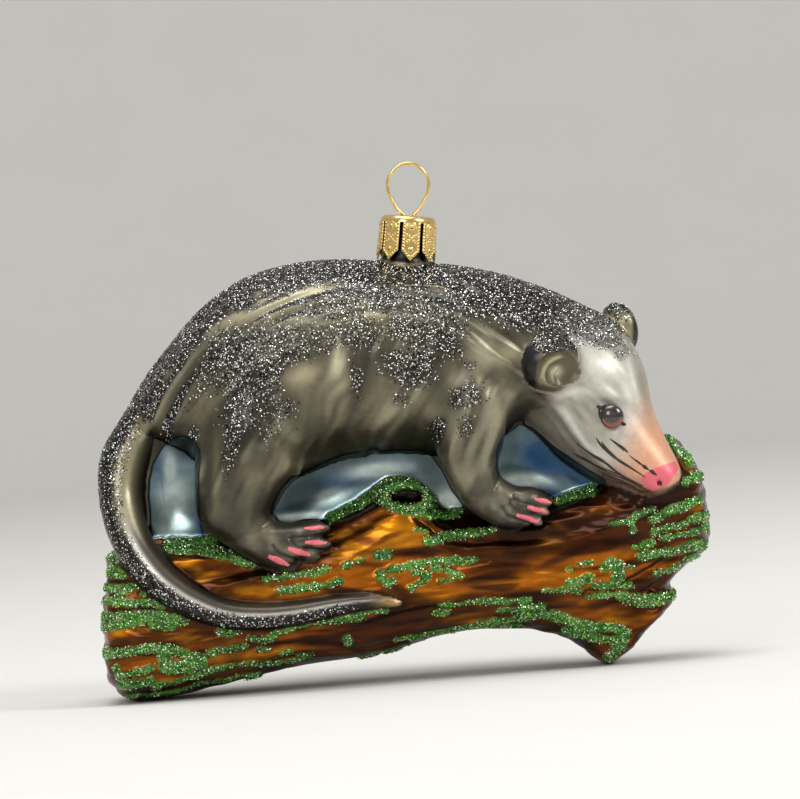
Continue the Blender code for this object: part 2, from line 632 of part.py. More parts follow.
def main():
    clear_scene()
    fur = material("fur_paint", (0.30, 0.28, 0.24), 0.55, 0.3)
    face = material("face_paint", (0.72, 0.66, 0.58), 0.3, 0.3)
    skin = material("paw_paint", (0.32, 0.29, 0.26), 0.4, 0.35)
    bark = material("bark_paint", (0.36, 0.15, 0.03), 0.3, 0.25)
    sky = material("panel_paint", (0.28, 0.38, 0.45), 0.75, 0.25)
    eye_paint = material("eye_paint", (0.05, 0.02, 0.01), 0.0, 0.1)
    gold = material("cap_metal", (0.83, 0.61, 0.25), 1.0, 0.3)

    torso = loft_length("torso", TRUNK, (0, NECK_STARTS_AT), BODY_SIDES)
    neck = loft_length("neck", TRUNK, (NECK_STARTS_AT, len(TRUNK) - 1), BODY_SIDES)
    head = loft("head", HEAD, sides=BODY_SIDES)
    log = loft("log", LOG, sides=BARK_GROOVES * SIDES_PER_GROOVE, squareness=2.5, outline=bark_outline)
    stub = loft("log_stub", STUB, sides=STUB_SIDES, squareness=2.5)
    knot_rings, knot_holes = knot_forms(log)
    glass_neck = glass_neck_form()
    tail = tail_forms()
    tail_pieces = [form for forms in tail.values() for form in forms]
    near_ear = ellipsoid("ear_near", *EAR_NEAR)
    near_cup = ellipsoid("cup_near", *CUP_NEAR, 14, 8)
    far_ear = ellipsoid("ear_far", *EAR_FAR)
    far_cup = ellipsoid("cup_far", *CUP_FAR, 14, 8)
    near_eye = eye_form("eye_near", head, EYE_NEAR, -1)
    far_eye = eye_form("eye_far", head, EYE_FAR, 1)
    legs = {
        "hind_leg_near": loft("hind_leg_near", HIND_LEG),
        "hind_leg_far": loft("hind_leg_far", mirrored(HIND_LEG, FAR_HIND_STRIDE)),
        "foreleg_near": loft("foreleg_near", FORELEG),
        "foreleg_far": loft("foreleg_far", mirrored(FORELEG, FAR_FORE_STRIDE)),
    }
    paws = {
        "hind_paw_near": paw_forms("hind_paw_near", HIND_PAW, HIND_TOES, 0.0, -1),
        "hind_paw_far": paw_forms("hind_paw_far", HIND_PAW, HIND_TOES, FAR_HIND_STRIDE, 1),
        "fore_paw_near": paw_forms("fore_paw_near", FORE_PAW, FORE_TOES, 0.0, -1),
        "fore_paw_far": paw_forms("fore_paw_far", FORE_PAW, FORE_TOES, FAR_FORE_STRIDE, 1),
    }
    paw_pieces = [form for forms in paws.values() for form in forms]
    floor = floor_form()
    limbs = [*legs.values(), *paw_pieces, *tail_pieces]

    make_node("torso", fur, [torso], [*legs.values(), tail["tail_base"][0]])
    make_node("neck", fur, [neck], [head, near_ear, legs["foreleg_near"], legs["foreleg_far"]])
    make_node("head", face, [head], [near_ear, far_ear, near_eye, far_eye])
    make_node("ear_near", fur, [near_ear], hollows=[near_cup])
    make_node("ear_far", fur, [far_ear], hollows=[far_cup])
    make_node("eye_near", eye_paint, [near_eye])
    make_node("eye_far", eye_paint, [far_eye])
    for (name, leg), paw in zip(legs.items(), paws.values()):
        make_node(name, fur, [leg], paw)
    for name, forms in paws.items():
        make_node(name, skin, forms)
    for name, forms in tail.items():
        make_node(name, fur, forms)
    make_node("log", bark, [log, *knot_rings], [head, *limbs], [*knot_holes, floor])
    make_node("log_stub", bark, [stub], [log], [floor])
    for name, span in WEB_LENGTHS.items():
        panel = loft_length(name, WEB, span, PANEL_SIDES, squareness=6.0)
        make_node(name, sky, [panel], [torso, neck, head, log, *knot_rings, *limbs])
    make_node("glass_neck", fur, [glass_neck], [torso])
    make_cap(gold)
    make_ring(gold)
    discard(*bpy.data.collections["cutters"].objects)


main()
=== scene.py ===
"""The looks of a blown-glass hanging ornament: an opossum on a mossy log, with a gilt cap and a wire ring.

Tables and working points are in millimetres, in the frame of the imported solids: X runs along the log towards
the nose, Z is up and -Y is the near side. Meshes are in metres. The forms repeat the solids' named sections,
more finely. They are fused into one skin of glass, which is then modelled, painted and strewn with glitter.

Painted marks are given where they show in the photograph, in its pixels, and are laid on the glass from
there. The far side wears the same marks mirrored.
"""
import itertools
import math

import bpy
import numpy as np
from mathutils import Matrix, Vector
from mathutils.bvhtree import BVHTree


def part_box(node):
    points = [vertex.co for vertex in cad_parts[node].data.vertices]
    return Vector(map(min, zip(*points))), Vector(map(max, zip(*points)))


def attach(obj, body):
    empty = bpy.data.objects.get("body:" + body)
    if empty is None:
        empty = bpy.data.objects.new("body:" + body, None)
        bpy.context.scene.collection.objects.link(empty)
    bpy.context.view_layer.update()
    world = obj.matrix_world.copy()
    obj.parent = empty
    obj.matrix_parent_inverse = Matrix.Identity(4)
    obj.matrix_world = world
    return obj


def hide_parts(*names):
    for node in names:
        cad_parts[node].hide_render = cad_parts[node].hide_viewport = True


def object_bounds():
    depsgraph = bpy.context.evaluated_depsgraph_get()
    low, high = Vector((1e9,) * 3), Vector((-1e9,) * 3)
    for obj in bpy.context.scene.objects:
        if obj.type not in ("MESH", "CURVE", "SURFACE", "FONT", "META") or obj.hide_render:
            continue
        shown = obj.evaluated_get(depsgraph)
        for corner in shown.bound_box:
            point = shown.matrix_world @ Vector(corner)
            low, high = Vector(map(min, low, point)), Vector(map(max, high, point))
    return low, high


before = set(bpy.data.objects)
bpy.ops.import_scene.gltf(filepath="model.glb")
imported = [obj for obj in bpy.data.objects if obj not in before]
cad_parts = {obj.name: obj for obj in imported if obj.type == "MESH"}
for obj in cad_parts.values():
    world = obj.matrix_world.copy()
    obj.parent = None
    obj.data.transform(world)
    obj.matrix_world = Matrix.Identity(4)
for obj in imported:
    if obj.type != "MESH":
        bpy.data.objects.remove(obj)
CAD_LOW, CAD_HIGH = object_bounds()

MM = 0.001

# The sizes that the solids were built from
HALF_BODY = 22.0
HALF_LOG = 17.0
HALF_PANEL = 7.0
LEG_MIDDLE = 13.5
TOE_MIDDLE = 15.6
TOE_RADIUS = 1.75
TOE_TIP_RADIUS = 1.15
EYE_RADIUS = 2.5
CAP_BASE = (5.1, 0.0, 85.9)
CAP_TILT = math.radians(8.5)
CAP_HEIGHT = 9.3
CAP_SHOULDER_RADIUS = 5.85
CAP_SKIRT_RADIUS = 6.15
PETALS = 8
PETAL_TURN = math.radians(8.6)
PETAL_POINT = 2.2
SLIT_HALF = math.radians(2.6)
WIRE_RADIUS = 0.35
RING_TILT = math.radians(3.2)
LOOP_WIDTH = 9.2
LOOP_HEIGHT = 11.2
FAR_HIND_STRIDE = -5.0
FAR_FORE_STRIDE = 6.0
BARK_GROOVES = 12
BARK_DEPTH = 1.3
BARK_WANDER = math.radians(8)
SIDES_PER_GROOVE = 3

# How finely the glass is cut up
VOXEL = 0.4
SKIN_STEPS = 5
SKIN_SIDES = 56
REACH = 14.0
INSET = 0.12
BOX_MARGIN = 0.02

# How far the modelling rises and sinks, and how wide its marks are
MOSS_RISE = 0.35
KNOT_DEPTH = 2.4
KNOT_HOLE_SHIFT = (0.3, 0.0, 0.7)
KNOT_HOLE_REACH = 5.0
TOE_REACH = 2.6
TOE_GAP_DEPTH = 0.5
TOE_GAP_WIDTH = 0.55
PANEL_DISH = 2.7
DISH_REACH = 3.6
NOSE_RISE = 0.16
MOUTH_DEPTH = 0.35
CLAW_LIFT = 0.2

# Places on the body: the line along its middle, the middle that the strands of the back run round, and the
# spans over which a mark fades, as X or as height
BODY_REACH = (-30.0, 20.0)
BODY_HEIGHT = 56.0
STRAND_MIDDLE = (-4.0, 32.0)
STRAND_RADIUS = 45.0
BACK_START = (36.0, 45.0)
BACK_END = (36.0, 46.0)
BAND_FOOT = (48.0, 54.0)
CROWN_FOOT = (62.0, 66.0)
DARK_CROWN_FOOT = (58.0, 66.0)
FACE_TOP = 60.0
TAIL_SIDE_TOP = 40.0
TAIL_BEND = (34.0, 44.0)
TAIL_HANGING = (32.0, 40.0)
TAIL_GLITTER_END = (-14.0, -6.0)
TAIL_TIP_START = (-9.0, -2.0)
FAR_EAR_START = 42.0

# Sections: upper x, upper z, lower x, lower z, middle y, half depth
TRUNK = [
    (-56.2, 57.7, -45.0, 52.1, 0.0, 0.39 * HALF_BODY),
    (-51.4, 65.0, -39.1, 46.7, 0.0, 0.61 * HALF_BODY),
    (-45.3, 72.0, -32.1, 43.6, 0.0, 0.80 * HALF_BODY),
    (-38.1, 79.2, -25.4, 41.9, 0.0, 0.91 * HALF_BODY),
    (-29.2, 84.7, -18.5, 43.0, 0.0, 0.98 * HALF_BODY),
    (-18.7, 87.2, -11.3, 45.3, 0.0, HALF_BODY),
    (-7.3, 87.3, -4.2, 46.0, 0.0, HALF_BODY),
    (4.0, 85.7, 3.4, 45.8, 0.0, 0.98 * HALF_BODY),
    (14.2, 84.5, 12.0, 44.3, 0.0, 0.93 * HALF_BODY),
    (24.3, 81.8, 19.8, 46.0, 0.0, 0.86 * HALF_BODY),
    (33.3, 78.1, 25.2, 50.4, 0.0, 0.80 * HALF_BODY),
    (39.8, 74.7, 28.8, 49.4, -1.0, 0.73 * HALF_BODY),
    (44.2, 71.9, 31.6, 46.6, -1.5, 0.64 * HALF_BODY),
]
HEAD = [
    (39.0, 74.8, 26.3, 49.7, -1.0, 14.5),
    (44.2, 72.3, 29.4, 47.0, -2.0, 14.5),
    (49.0, 67.8, 32.2, 43.9, -3.0, 14.0),
    (52.3, 60.3, 36.7, 40.4, -5.0, 12.4),
    (53.0, 53.4, 39.8, 38.1, -6.5, 11.0),
    (54.1, 48.8, 42.6, 36.9, -8.0, 9.6),
    (56.2, 43.4, 47.0, 35.1, -10.8, 7.2),
    (57.5, 39.8, 50.5, 34.1, -12.4, 5.6),
    (57.6, 37.7, 52.9, 34.2, -13.4, 4.3),
    (56.8, 36.3, 54.9, 35.1, -14.0, 2.0),
]
LOG = [
    (-62.0, 23.7, -63.2, 8.1, 0.0, 0.53 * HALF_LOG),
    (-60.4, 30.1, -61.8, 2.4, 0.0, 0.82 * HALF_LOG),
    (-54.5, 33.4, -56.4, -0.6, 0.0, 0.97 * HALF_LOG),
    (-43.6, 33.6, -45.6, 0.6, 0.0, HALF_LOG),
    (-31.3, 32.4, -33.2, 3.0, 0.0, HALF_LOG),
    (-19.8, 33.6, -20.7, 4.7, 0.0, HALF_LOG),
    (-10.4, 36.9, -11.1, 5.4, 0.0, HALF_LOG),
    (0.2, 42.2, -1.0, 6.9, 0.0, HALF_LOG),
    (9.6, 34.6, 8.0, 8.5, 0.0, 0.98 * HALF_LOG),
    (18.4, 34.4, 16.4, 8.9, 0.0, 0.96 * HALF_LOG),
    (29.4, 35.1, 26.4, 8.0, 0.0, 0.94 * HALF_LOG),
    (41.5, 38.6, 38.2, 7.4, 0.0, 0.93 * HALF_LOG),
    (51.5, 44.4, 48.0, 11.2, 0.0, 0.88 * HALF_LOG),
    (56.7, 45.4, 54.6, 16.1, 0.0, 0.82 * HALF_LOG),
    (60.4, 41.6, 59.9, 20.2, 0.0, 0.74 * HALF_LOG),
    (62.5, 35.3, 62.4, 22.7, 0.0, 0.53 * HALF_LOG),
    (63.2, 30.2, 63.2, 25.3, 0.0, 0.24 * HALF_LOG),
]
STUB = [
    (32.2, 25.1, 24.6, 8.1, 0.0, 12.5),
    (40.2, 22.4, 29.9, 6.5, 0.0, 12.5),
    (48.2, 19.0, 34.6, 3.6, 0.0, 12.2),
    (53.0, 16.2, 37.9, 0.7, 0.0, 11.5),
    (55.0, 13.5, 39.5, -0.5, 0.0, 10.5),
    (54.6, 11.9, 41.2, -0.3, 0.0, 8.6),
]
HIND_LEG = [
    (-34.4, 66.1, -24.9, 66.6, -LEG_MIDDLE, 5.0),
    (-38.3, 58.6, -21.0, 58.2, -LEG_MIDDLE, 8.4),
    (-40.8, 50.5, -18.8, 46.3, -LEG_MIDDLE, 9.0),
    (-41.6, 43.3, -22.7, 41.4, -LEG_MIDDLE, 8.6),
    (-41.6, 37.8, -25.1, 37.5, -LEG_MIDDLE, 7.6),
    (-39.8, 33.6, -26.1, 35.1, -LEG_MIDDLE, 6.5),
    (-37.0, 31.4, -25.0, 34.2, -LEG_MIDDLE, 5.5),
]
HIND_PAW = [
    (-38.7, 32.9, -28.5, 36.1, -LEG_MIDDLE, 4.6),
    (-34.0, 29.4, -23.9, 34.9, -14.0, 4.8),
    (-29.0, 26.4, -19.8, 34.8, -14.5, 4.4),
    (-24.7, 25.0, -16.4, 34.7, -15.0, 3.8),
    (-22.0, 26.0, -15.9, 32.6, -15.0, 2.4),
]
HIND_TOES = [
    ((-20.5, 33.2), (-14.3, 32.9)),
    ((-20.6, 30.4), (-14.4, 29.6)),
    ((-24.0, 29.6), (-17.7, 27.0)),
    ((-28.4, 28.6), (-22.2, 25.1)),
]
FORELEG = [
    (9.9, 67.1, 21.1, 67.3, -LEG_MIDDLE, 5.0),
    (7.5, 58.0, 24.0, 57.8, -LEG_MIDDLE, 8.0),
    (7.6, 48.7, 22.4, 48.2, -LEG_MIDDLE, 7.6),
    (9.4, 42.8, 20.8, 43.5, -LEG_MIDDLE, 6.6),
    (11.7, 37.9, 21.0, 40.2, -LEG_MIDDLE, 6.0),
    (13.6, 35.2, 21.9, 38.5, -LEG_MIDDLE, 5.0),
]
FORE_PAW = [
    (12.0, 36.6, 21.0, 40.6, -LEG_MIDDLE, 4.6),
    (15.0, 33.1, 23.9, 38.6, -14.2, 4.4),
    (19.6, 30.4, 27.4, 38.1, -14.8, 4.0),
    (23.6, 30.0, 29.0, 36.6, -15.2, 3.2),
    (26.0, 31.0, 29.4, 34.9, -15.3, 1.8),
]
FORE_TOES = [
    ((25.4, 36.0), (31.0, 34.2)),
    ((24.4, 34.4), (30.4, 32.2)),
    ((22.4, 32.8), (28.8, 30.2)),
    ((19.6, 32.4), (25.2, 30.2)),
]
# The tail: middle x, middle z, half width in the XZ plane, middle y, half depth
TAIL = [
    (-48.6, 62.6, 3.0, -1.0, 7.0),
    (-52.6, 55.3, 4.6, -2.0, 7.0),
    (-55.8, 49.2, 5.1, -4.0, 6.5),
    (-56.9, 43.1, 4.6, -6.0, 6.0),
    (-56.2, 36.5, 4.4, -9.5, 5.5),
    (-53.8, 30.5, 4.1, -12.5, 4.5),
    (-49.9, 25.2, 3.7, -15.0, 3.8),
    (-44.2, 20.6, 3.3, -16.2, 3.3),
    (-37.5, 17.4, 2.8, -17.0, 2.8),
    (-30.1, 16.2, 2.6, -17.0, 2.6),
    (-22.3, 16.3, 2.3, -16.8, 2.3),
    (-13.9, 17.2, 1.9, -16.7, 1.9),
    (-6.5, 17.4, 1.3, -16.6, 1.3),
    (-1.4, 16.2, 0.6, -16.5, 0.6),
]
WEB = [
    (-54.5, 50.5, -55.0, 34.0, -2.0, 0.5 * HALF_PANEL),
    (-47.0, 57.0, -46.0, 27.0, 0.0, HALF_PANEL),
    (-31.5, 55.0, -31.0, 26.0, 0.0, HALF_PANEL),
    (-10.0, 53.0, -10.0, 27.0, 0.0, HALF_PANEL),
    (14.8, 53.0, 15.0, 28.0, 0.0, HALF_PANEL),
    (30.0, 55.0, 30.0, 29.0, 0.0, HALF_PANEL),
    (46.0, 45.0, 46.0, 32.0, 0.0, HALF_PANEL),
]
# Ears: middle, radii (up, sideways, along the facing), facing, and the cup's middle and radii
NEAR_EAR = ((32.8, -15.5, 62.8), (5.8, 6.4, 4.4), (0.35, -1.0, 0.0), (34.6, -19.2, 60.9), (4.5, 5.2, 3.1))
FAR_EAR = ((48.0, 4.2, 68.4), (5.7, 5.2, 3.2), (0.8, 0.55, 0.15), (50.4, 6.0, 69.2), (3.8, 3.5, 2.2))
KNOT_MIDDLE = (1.2, 37.6)
KNOT_REACH = (5.6, 3.4)
KNOT_HOLE = (3.8, 1.9)
KNOT_RISE = 1.6
KNOT_FACES_UP = 0.25

# The photograph: its size, the scale at the ornament's middle plane, its lean and where its origin shows
PHOTO_SIZE = (800, 799)
MM_PER_PIXEL = 0.206
LEAN = math.atan2(37, 465)
ORIGIN_PIXEL = (414.0, 678.7)
CAMERA_DISTANCE = 1200.0
CAMERA_ELEVATION = math.radians(1.0)
SENSOR_WIDTH = 36.0


def srgb(red, green, blue):
    """A screen colour from 0 to 255 as a linear colour."""
    share = np.array([red, green, blue], float) / 255
    return np.where(share <= 0.04045, share / 12.92, ((share + 0.055) / 1.055) ** 2.4)


def smooth(low, high, value):
    """A smooth step from 0 at low to 1 at high."""
    share = np.clip((value - low) / (high - low), 0.0, 1.0)
    return share * share * (3 - 2 * share)


def mix(first, second, share):
    """Blends two colours, or arrays of them, by a share for each point."""
    return first + (second - first) * np.asarray(share)[:, None]


def unit(vectors):
    return vectors / np.maximum(np.linalg.norm(vectors, axis=-1, keepdims=True), 1e-9)


def noise(points, size, seed):
    """Smooth noise from 0 to 1, in blobs of about the given size, which may differ for X, Y and Z."""
    spots = points / np.asarray(size, float) + 17.3 * seed
    cells = np.floor(spots)
    part = spots - cells
    part = part * part * (3 - 2 * part)
    total = np.zeros(len(points))
    for corner in itertools.product((0.0, 1.0), repeat=3):
        value = np.sin((cells + corner) @ (12.9898, 78.233, 37.719)) * 43758.5453
        weight = np.prod(np.where(np.array(corner) > 0, part, 1 - part), axis=1)
        total += (value - np.floor(value)) * weight
    return total


def cloud(points, size, seed, layers=3):
    """Several layers of noise, each half as large and half as strong as the last, from 0 to 1."""
    size = np.asarray(size, float)
    total = sum(noise(points, size / 2 ** layer, seed + layer) / 2 ** layer for layer in range(layers))
    return total / (2 - 0.5 ** (layers - 1))


def camera_axes():
    """The camera's place, and its right, up and forward directions, in millimetres."""
    across = MM_PER_PIXEL * (PHOTO_SIZE[0] / 2 - ORIGIN_PIXEL[0])
    above = MM_PER_PIXEL * (ORIGIN_PIXEL[1] - PHOTO_SIZE[1] / 2)
    cosine, sine = math.cos(LEAN), math.sin(LEAN)
    middle = np.array([across * cosine + above * sine, 0.0, above * cosine - across * sine])
    forward = np.array([0.0, math.cos(CAMERA_ELEVATION), -math.sin(CAMERA_ELEVATION)])
    level = np.array([1.0, 0.0, 0.0])
    upright = np.cross(level, forward)
    right = level * cosine - upright * sine
    up = level * sine + upright * cosine
    return middle - forward * CAMERA_DISTANCE, right, up, forward


CAMERA_PLACE, RIGHT, UP, FORWARD = camera_axes()


def photo_places(points):
    """Where points show in the photograph, in pixels. Far points are mirrored to the near side first."""
    near = points.copy()
    near[:, 1] = -np.abs(near[:, 1])
    away = near - CAMERA_PLACE
    scale = CAMERA_DISTANCE / (away @ FORWARD) / MM_PER_PIXEL
    return np.stack([
        PHOTO_SIZE[0] / 2 + (away @ RIGHT) * scale,
        PHOTO_SIZE[1] / 2 - (away @ UP) * scale,
    ], axis=1)


def pixel_direction(u, v):
    """The direction from the camera through a pixel of the photograph."""
    across = (u - PHOTO_SIZE[0] / 2) * MM_PER_PIXEL
    above = (PHOTO_SIZE[1] / 2 - v) * MM_PER_PIXEL
    return unit(FORWARD * CAMERA_DISTANCE + RIGHT * across + UP * above)


def resampled(sections, steps):
    """Adds sections on a smooth Catmull-Rom curve through the given ones."""
    given = np.array(sections, dtype=float)
    padded = np.vstack([2 * given[0] - given[1], given, 2 * given[-1] - given[-2]])
    rows = []
    for index in range(1, len(padded) - 2):
        before, start, end, after = padded[index - 1:index + 3]
        for step in range(steps + 1):
            t = step / (steps + 1)
            bend = 2 * before - 5 * start + 4 * end - after
            twist = 3 * start - before - 3 * end + after
            rows.append(start + 0.5 * t * (end - before + t * (bend + t * twist)))
    rows.append(given[-1])
    return np.array(rows)


def tube_faces(rings, sides, first=0):
    """The faces of a closed tube of rings, whose two end middles are the last two points."""
    faces = []
    for ring in range(rings - 1):
        for side in range(sides):
            after = (side + 1) % sides
            low, high = first + ring * sides, first + (ring + 1) * sides
            faces.append((low + side, low + after, high + after, high + side))
    start_middle = first + rings * sides
    last_ring = first + (rings - 1) * sides
    for side in range(sides):
        after = (side + 1) % sides
        faces.append((first + after, first + side, start_middle))
        faces.append((last_ring + side, last_ring + after, start_middle + 1))
    return faces


def plain_outline(round_share, length_share):
    """Spaces a section's points evenly, all on its outline."""
    return 2 * math.pi * round_share + 0 * length_share, 1.0


def bark_outline(round_share, length_share):
    """Draws a section's points in along wandering grooves, which fade at the log's ends, top and bottom."""
    turn = 2 * math.pi
    angle = turn * round_share + BARK_WANDER * np.sin(turn * (2 * length_share + 3 * round_share))
    groove = BARK_GROOVES * round_share
    to_groove = SIDES_PER_GROOVE * np.abs(groove - np.round(groove))
    on_face = np.minimum(1.0, 1.5 * np.abs(np.sin(angle)))
    to_end = np.minimum(1.0, 6 * np.minimum(length_share, 1 - length_share))
    varied = 0.75 + 0.25 * np.cos(turn * (3 * length_share - 2 * round_share))
    depth = BARK_DEPTH * (1 - smooth(0, 1, to_groove)) * on_face * to_end * varied
    return angle, 1 - depth / HALF_LOG


def loft(sections, squareness=2.0, sides=SKIN_SIDES, steps=SKIN_STEPS, outline=plain_outline):
    """A closed body through oval sections. A squareness of 2 makes ellipses, and more makes fuller ovals."""
    rows = resampled(sections, steps)
    angles, reach = outline(np.arange(sides)[None] / sides, np.linspace(0, 1, len(rows))[:, None])
    along = reach * np.sign(np.cos(angles)) * np.abs(np.cos(angles)) ** (2 / squareness)
    across = reach * np.sign(np.sin(angles)) * np.abs(np.sin(angles)) ** (2 / squareness)
    middles = np.stack([(rows[:, 0] + rows[:, 2]) / 2, rows[:, 4], (rows[:, 1] + rows[:, 3]) / 2], axis=1)
    rises = np.stack([(rows[:, 0] - rows[:, 2]) / 2, 0 * rows[:, 0], (rows[:, 1] - rows[:, 3]) / 2], axis=1)
    depths = np.stack([0 * rows[:, 5], rows[:, 5], 0 * rows[:, 5]], axis=1)
    rings = middles[:, None] + rises[:, None] * along[..., None] + depths[:, None] * across[..., None]
    points = np.vstack([rings.reshape(-1, 3), middles[:1], middles[-1:]])
    return points, tube_faces(len(rows), sides)


def turned(facing):
    """A matrix whose columns are up, sideways and the facing direction."""
    return np.array(Vector(facing).to_track_quat("Z", "X").to_matrix())


def ellipsoid(middle, radii, facing, rings=24, sides=40):
    """A ball with three radii, the third one along facing."""
    heights = np.cos(np.linspace(0, math.pi, rings + 2)[1:-1])
    angles = np.arange(sides) * (2 * math.pi / sides)
    widths = np.sqrt(1 - heights ** 2)
    ball = np.stack([
        widths[:, None] * np.cos(angles),
        widths[:, None] * np.sin(angles),
        np.repeat(heights[:, None], sides, axis=1),
    ], axis=2).reshape(-1, 3)
    ball = np.vstack([ball, (0, 0, 1), (0, 0, -1)])
    return ball * radii @ turned(facing).T + middle, tube_faces(rings, sides)


def tail_sections():
    """The tail's sections stand across its own path in the XZ plane."""
    table = np.array(TAIL)
    along = unit(np.gradient(table[:, :2], axis=0))
    out_x = along[:, 1] * table[:, 2]
    out_z = -along[:, 0] * table[:, 2]
    return np.stack([
        table[:, 0] + out_x, table[:, 1] + out_z,
        table[:, 0] - out_x, table[:, 1] - out_z,
        table[:, 3], table[:, 4],
    ], axis=1)


def mirrored(sections, stride):
    """The near side's sections reflected in Y, with the lower ones moved along X by up to the stride."""
    rows = np.array(sections, dtype=float)
    rows[:, [0, 2]] += stride * np.linspace(0.0, 1.0, len(rows))[:, None]
    rows[:, 4] *= -1
    return rows


def toe(root, tip, stride, side):
    """A toe: a round rod that narrows to a blunt tip."""
    run = unit(np.array([tip[0] - root[0], tip[1] - root[1]]))
    rows = []
    for share, fullness in ((0.0, 0.6), (0.15, 1.0), (0.6, 1.0), (0.9, 0.75), (1.0, 0.35)):
        radius = fullness * (TOE_RADIUS + (TOE_TIP_RADIUS - TOE_RADIUS) * share)
        x = root[0] + (tip[0] - root[0]) * share + stride
        z = root[1] + (tip[1] - root[1]) * share
        out_x, out_z = run[1] * radius, -run[0] * radius
        rows.append((x + out_x, z + out_z, x - out_x, z - out_z, side * TOE_MIDDLE, radius))
    return loft(rows, sides=20, steps=2)


def paw(sections, toes, stride, side):
    """A paw and its four toes. side is -1 for the near side and 1 for the far side."""
    rows = np.array(sections, dtype=float)
    rows[:, [0, 2]] += stride
    rows[:, 4] *= -side
    return [loft(rows, sides=36)] + [toe(root, tip, stride, side) for root, tip in toes]


def glass_neck():
    """The neck that the ornament was blown through, up to the inside of its cap."""
    profile = [
        (7.0, -6.0), (7.0, -2.4), (6.2, -1.3), (5.5, -0.5),
        (5.0, 0.6), (4.8, 3.0), (4.6, 7.6), (4.3, 8.0),
    ]
    sides = 56
    angles = np.arange(sides) * (2 * math.pi / sides)
    rings = [
        np.stack([radius * np.cos(angles), radius * np.sin(angles), np.full(sides, height)], axis=1)
        for radius, height in profile
    ]
    points = np.vstack([*rings, (0, 0, profile[0][1]), (0, 0, profile[-1][1])])
    return in_cap_frame(points), tube_faces(len(profile), sides)


def in_cap_frame(points):
    """Sets points that are modelled upright at the origin onto the leaning axis of the cap."""
    return points @ np.array(Matrix.Rotation(CAP_TILT, 3, "Y")).T + CAP_BASE


def joined(forms):
    """Several bodies as one list of points and one of faces."""
    points, faces = [], []
    for some_points, some_faces in forms:
        first = sum(len(each) for each in points)
        points.append(some_points)
        faces += [tuple(first + corner for corner in face) for face in some_faces]
    return np.vstack(points), faces


def tree_of(form):
    points, faces = form
    return BVHTree.FromPolygons(points.tolist(), [tuple(int(c) for c in face) for face in faces])


def knot_rings(log):
    """The raised ring of a knot on both faces of the log's ridge."""
    tree = tree_of(log)
    x, z = KNOT_MIDDLE
    rings = []
    for side in (-1, 1):
        place, _, _, _ = tree.ray_cast(Vector((x, side * 2 * HALF_BODY, z)), Vector((0, -side, 0)))
        radii = (KNOT_REACH[1], KNOT_REACH[0], KNOT_RISE)
        rings.append(ellipsoid(np.array(place), radii, (0, side, KNOT_FACES_UP)))
    return rings


def all_forms():
    """Every plain form of the glass, by the zone of paint that it wears."""
    log = loft(LOG, squareness=2.5, sides=4 * BARK_GROOVES * SIDES_PER_GROOVE, outline=bark_outline)
    return {
        "trunk": [loft(TRUNK, sides=72)],
        "leg": [
            loft(HIND_LEG), loft(mirrored(HIND_LEG, FAR_HIND_STRIDE)),
            loft(FORELEG), loft(mirrored(FORELEG, FAR_FORE_STRIDE)),
        ],
        "tail": [loft(tail_sections(), sides=40)],
        "ear": [ellipsoid(*NEAR_EAR[:3]), ellipsoid(*FAR_EAR[:3])],
        "head": [loft(HEAD, sides=72)],
        "paw": [
            *paw(HIND_PAW, HIND_TOES, 0.0, -1), *paw(HIND_PAW, HIND_TOES, FAR_HIND_STRIDE, 1),
            *paw(FORE_PAW, FORE_TOES, 0.0, -1), *paw(FORE_PAW, FORE_TOES, FAR_FORE_STRIDE, 1),
        ],
        "log": [log, loft(STUB, squareness=2.5), *knot_rings(log)],
        "web": [loft(WEB, squareness=6.0)],
        "neck": [glass_neck()],
    }


def fused(forms):
    """Fuses overlapping bodies into one closed surface of small quads. Gives its points, faces and edges."""
    points, faces = joined(forms)
    mesh = bpy.data.meshes.new("forms")
    mesh.from_pydata(points.tolist(), [], faces)
    body = bpy.data.objects.new("forms", mesh)
    bpy.context.scene.collection.objects.link(body)
    remesh = body.modifiers.new("fuse", "REMESH")
    remesh.mode = "VOXEL"
    remesh.voxel_size = VOXEL
    bpy.context.view_layer.update()
    found = bpy.data.meshes.new_from_object(body.evaluated_get(bpy.context.evaluated_depsgraph_get()))
    skin_points = np.empty(len(found.vertices) * 3)
    found.vertices.foreach_get("co", skin_points)
    corners = np.empty(len(found.loops), int)
    found.loops.foreach_get("vertex_index", corners)
    edges = np.empty(len(found.edges) * 2, int)
    found.edges.foreach_get("vertices", edges)
    bpy.data.objects.remove(body)
    return skin_points.reshape(-1, 3), corners.reshape(-1, 4), edges.reshape(-1, 2)


def relaxed(points, edges, passes, share):
    """Moves each point towards the middle of its neighbours, by a share that may differ between points."""
    count = len(points)
    starts = np.concatenate([edges[:, 0], edges[:, 1]])
    ends = np.concatenate([edges[:, 1], edges[:, 0]])
    near = np.maximum(np.bincount(starts, minlength=count), 1)
    share = np.broadcast_to(np.asarray(share, float), count)[:, None]
    for _ in range(passes):
        middles = np.stack([
            np.bincount(starts, points[ends, axis], count) / near for axis in range(3)
        ], axis=1)
        points = points + (middles - points) * share
    return points


def spread(values, edges, passes):
    """Evens out one number for each point."""
    return relaxed(values[:, None].repeat(3, axis=1), edges, passes, 0.5)[:, 0]


def distances(form, points):
    """How far each point is from a body's surface, up to REACH."""
    tree = tree_of(form)
    found = np.full(len(points), REACH)
    for index, point in enumerate(points.tolist()):
        distance = tree.find_nearest(point, REACH)[3]
        if distance is not None:
            found[index] = distance
    return found


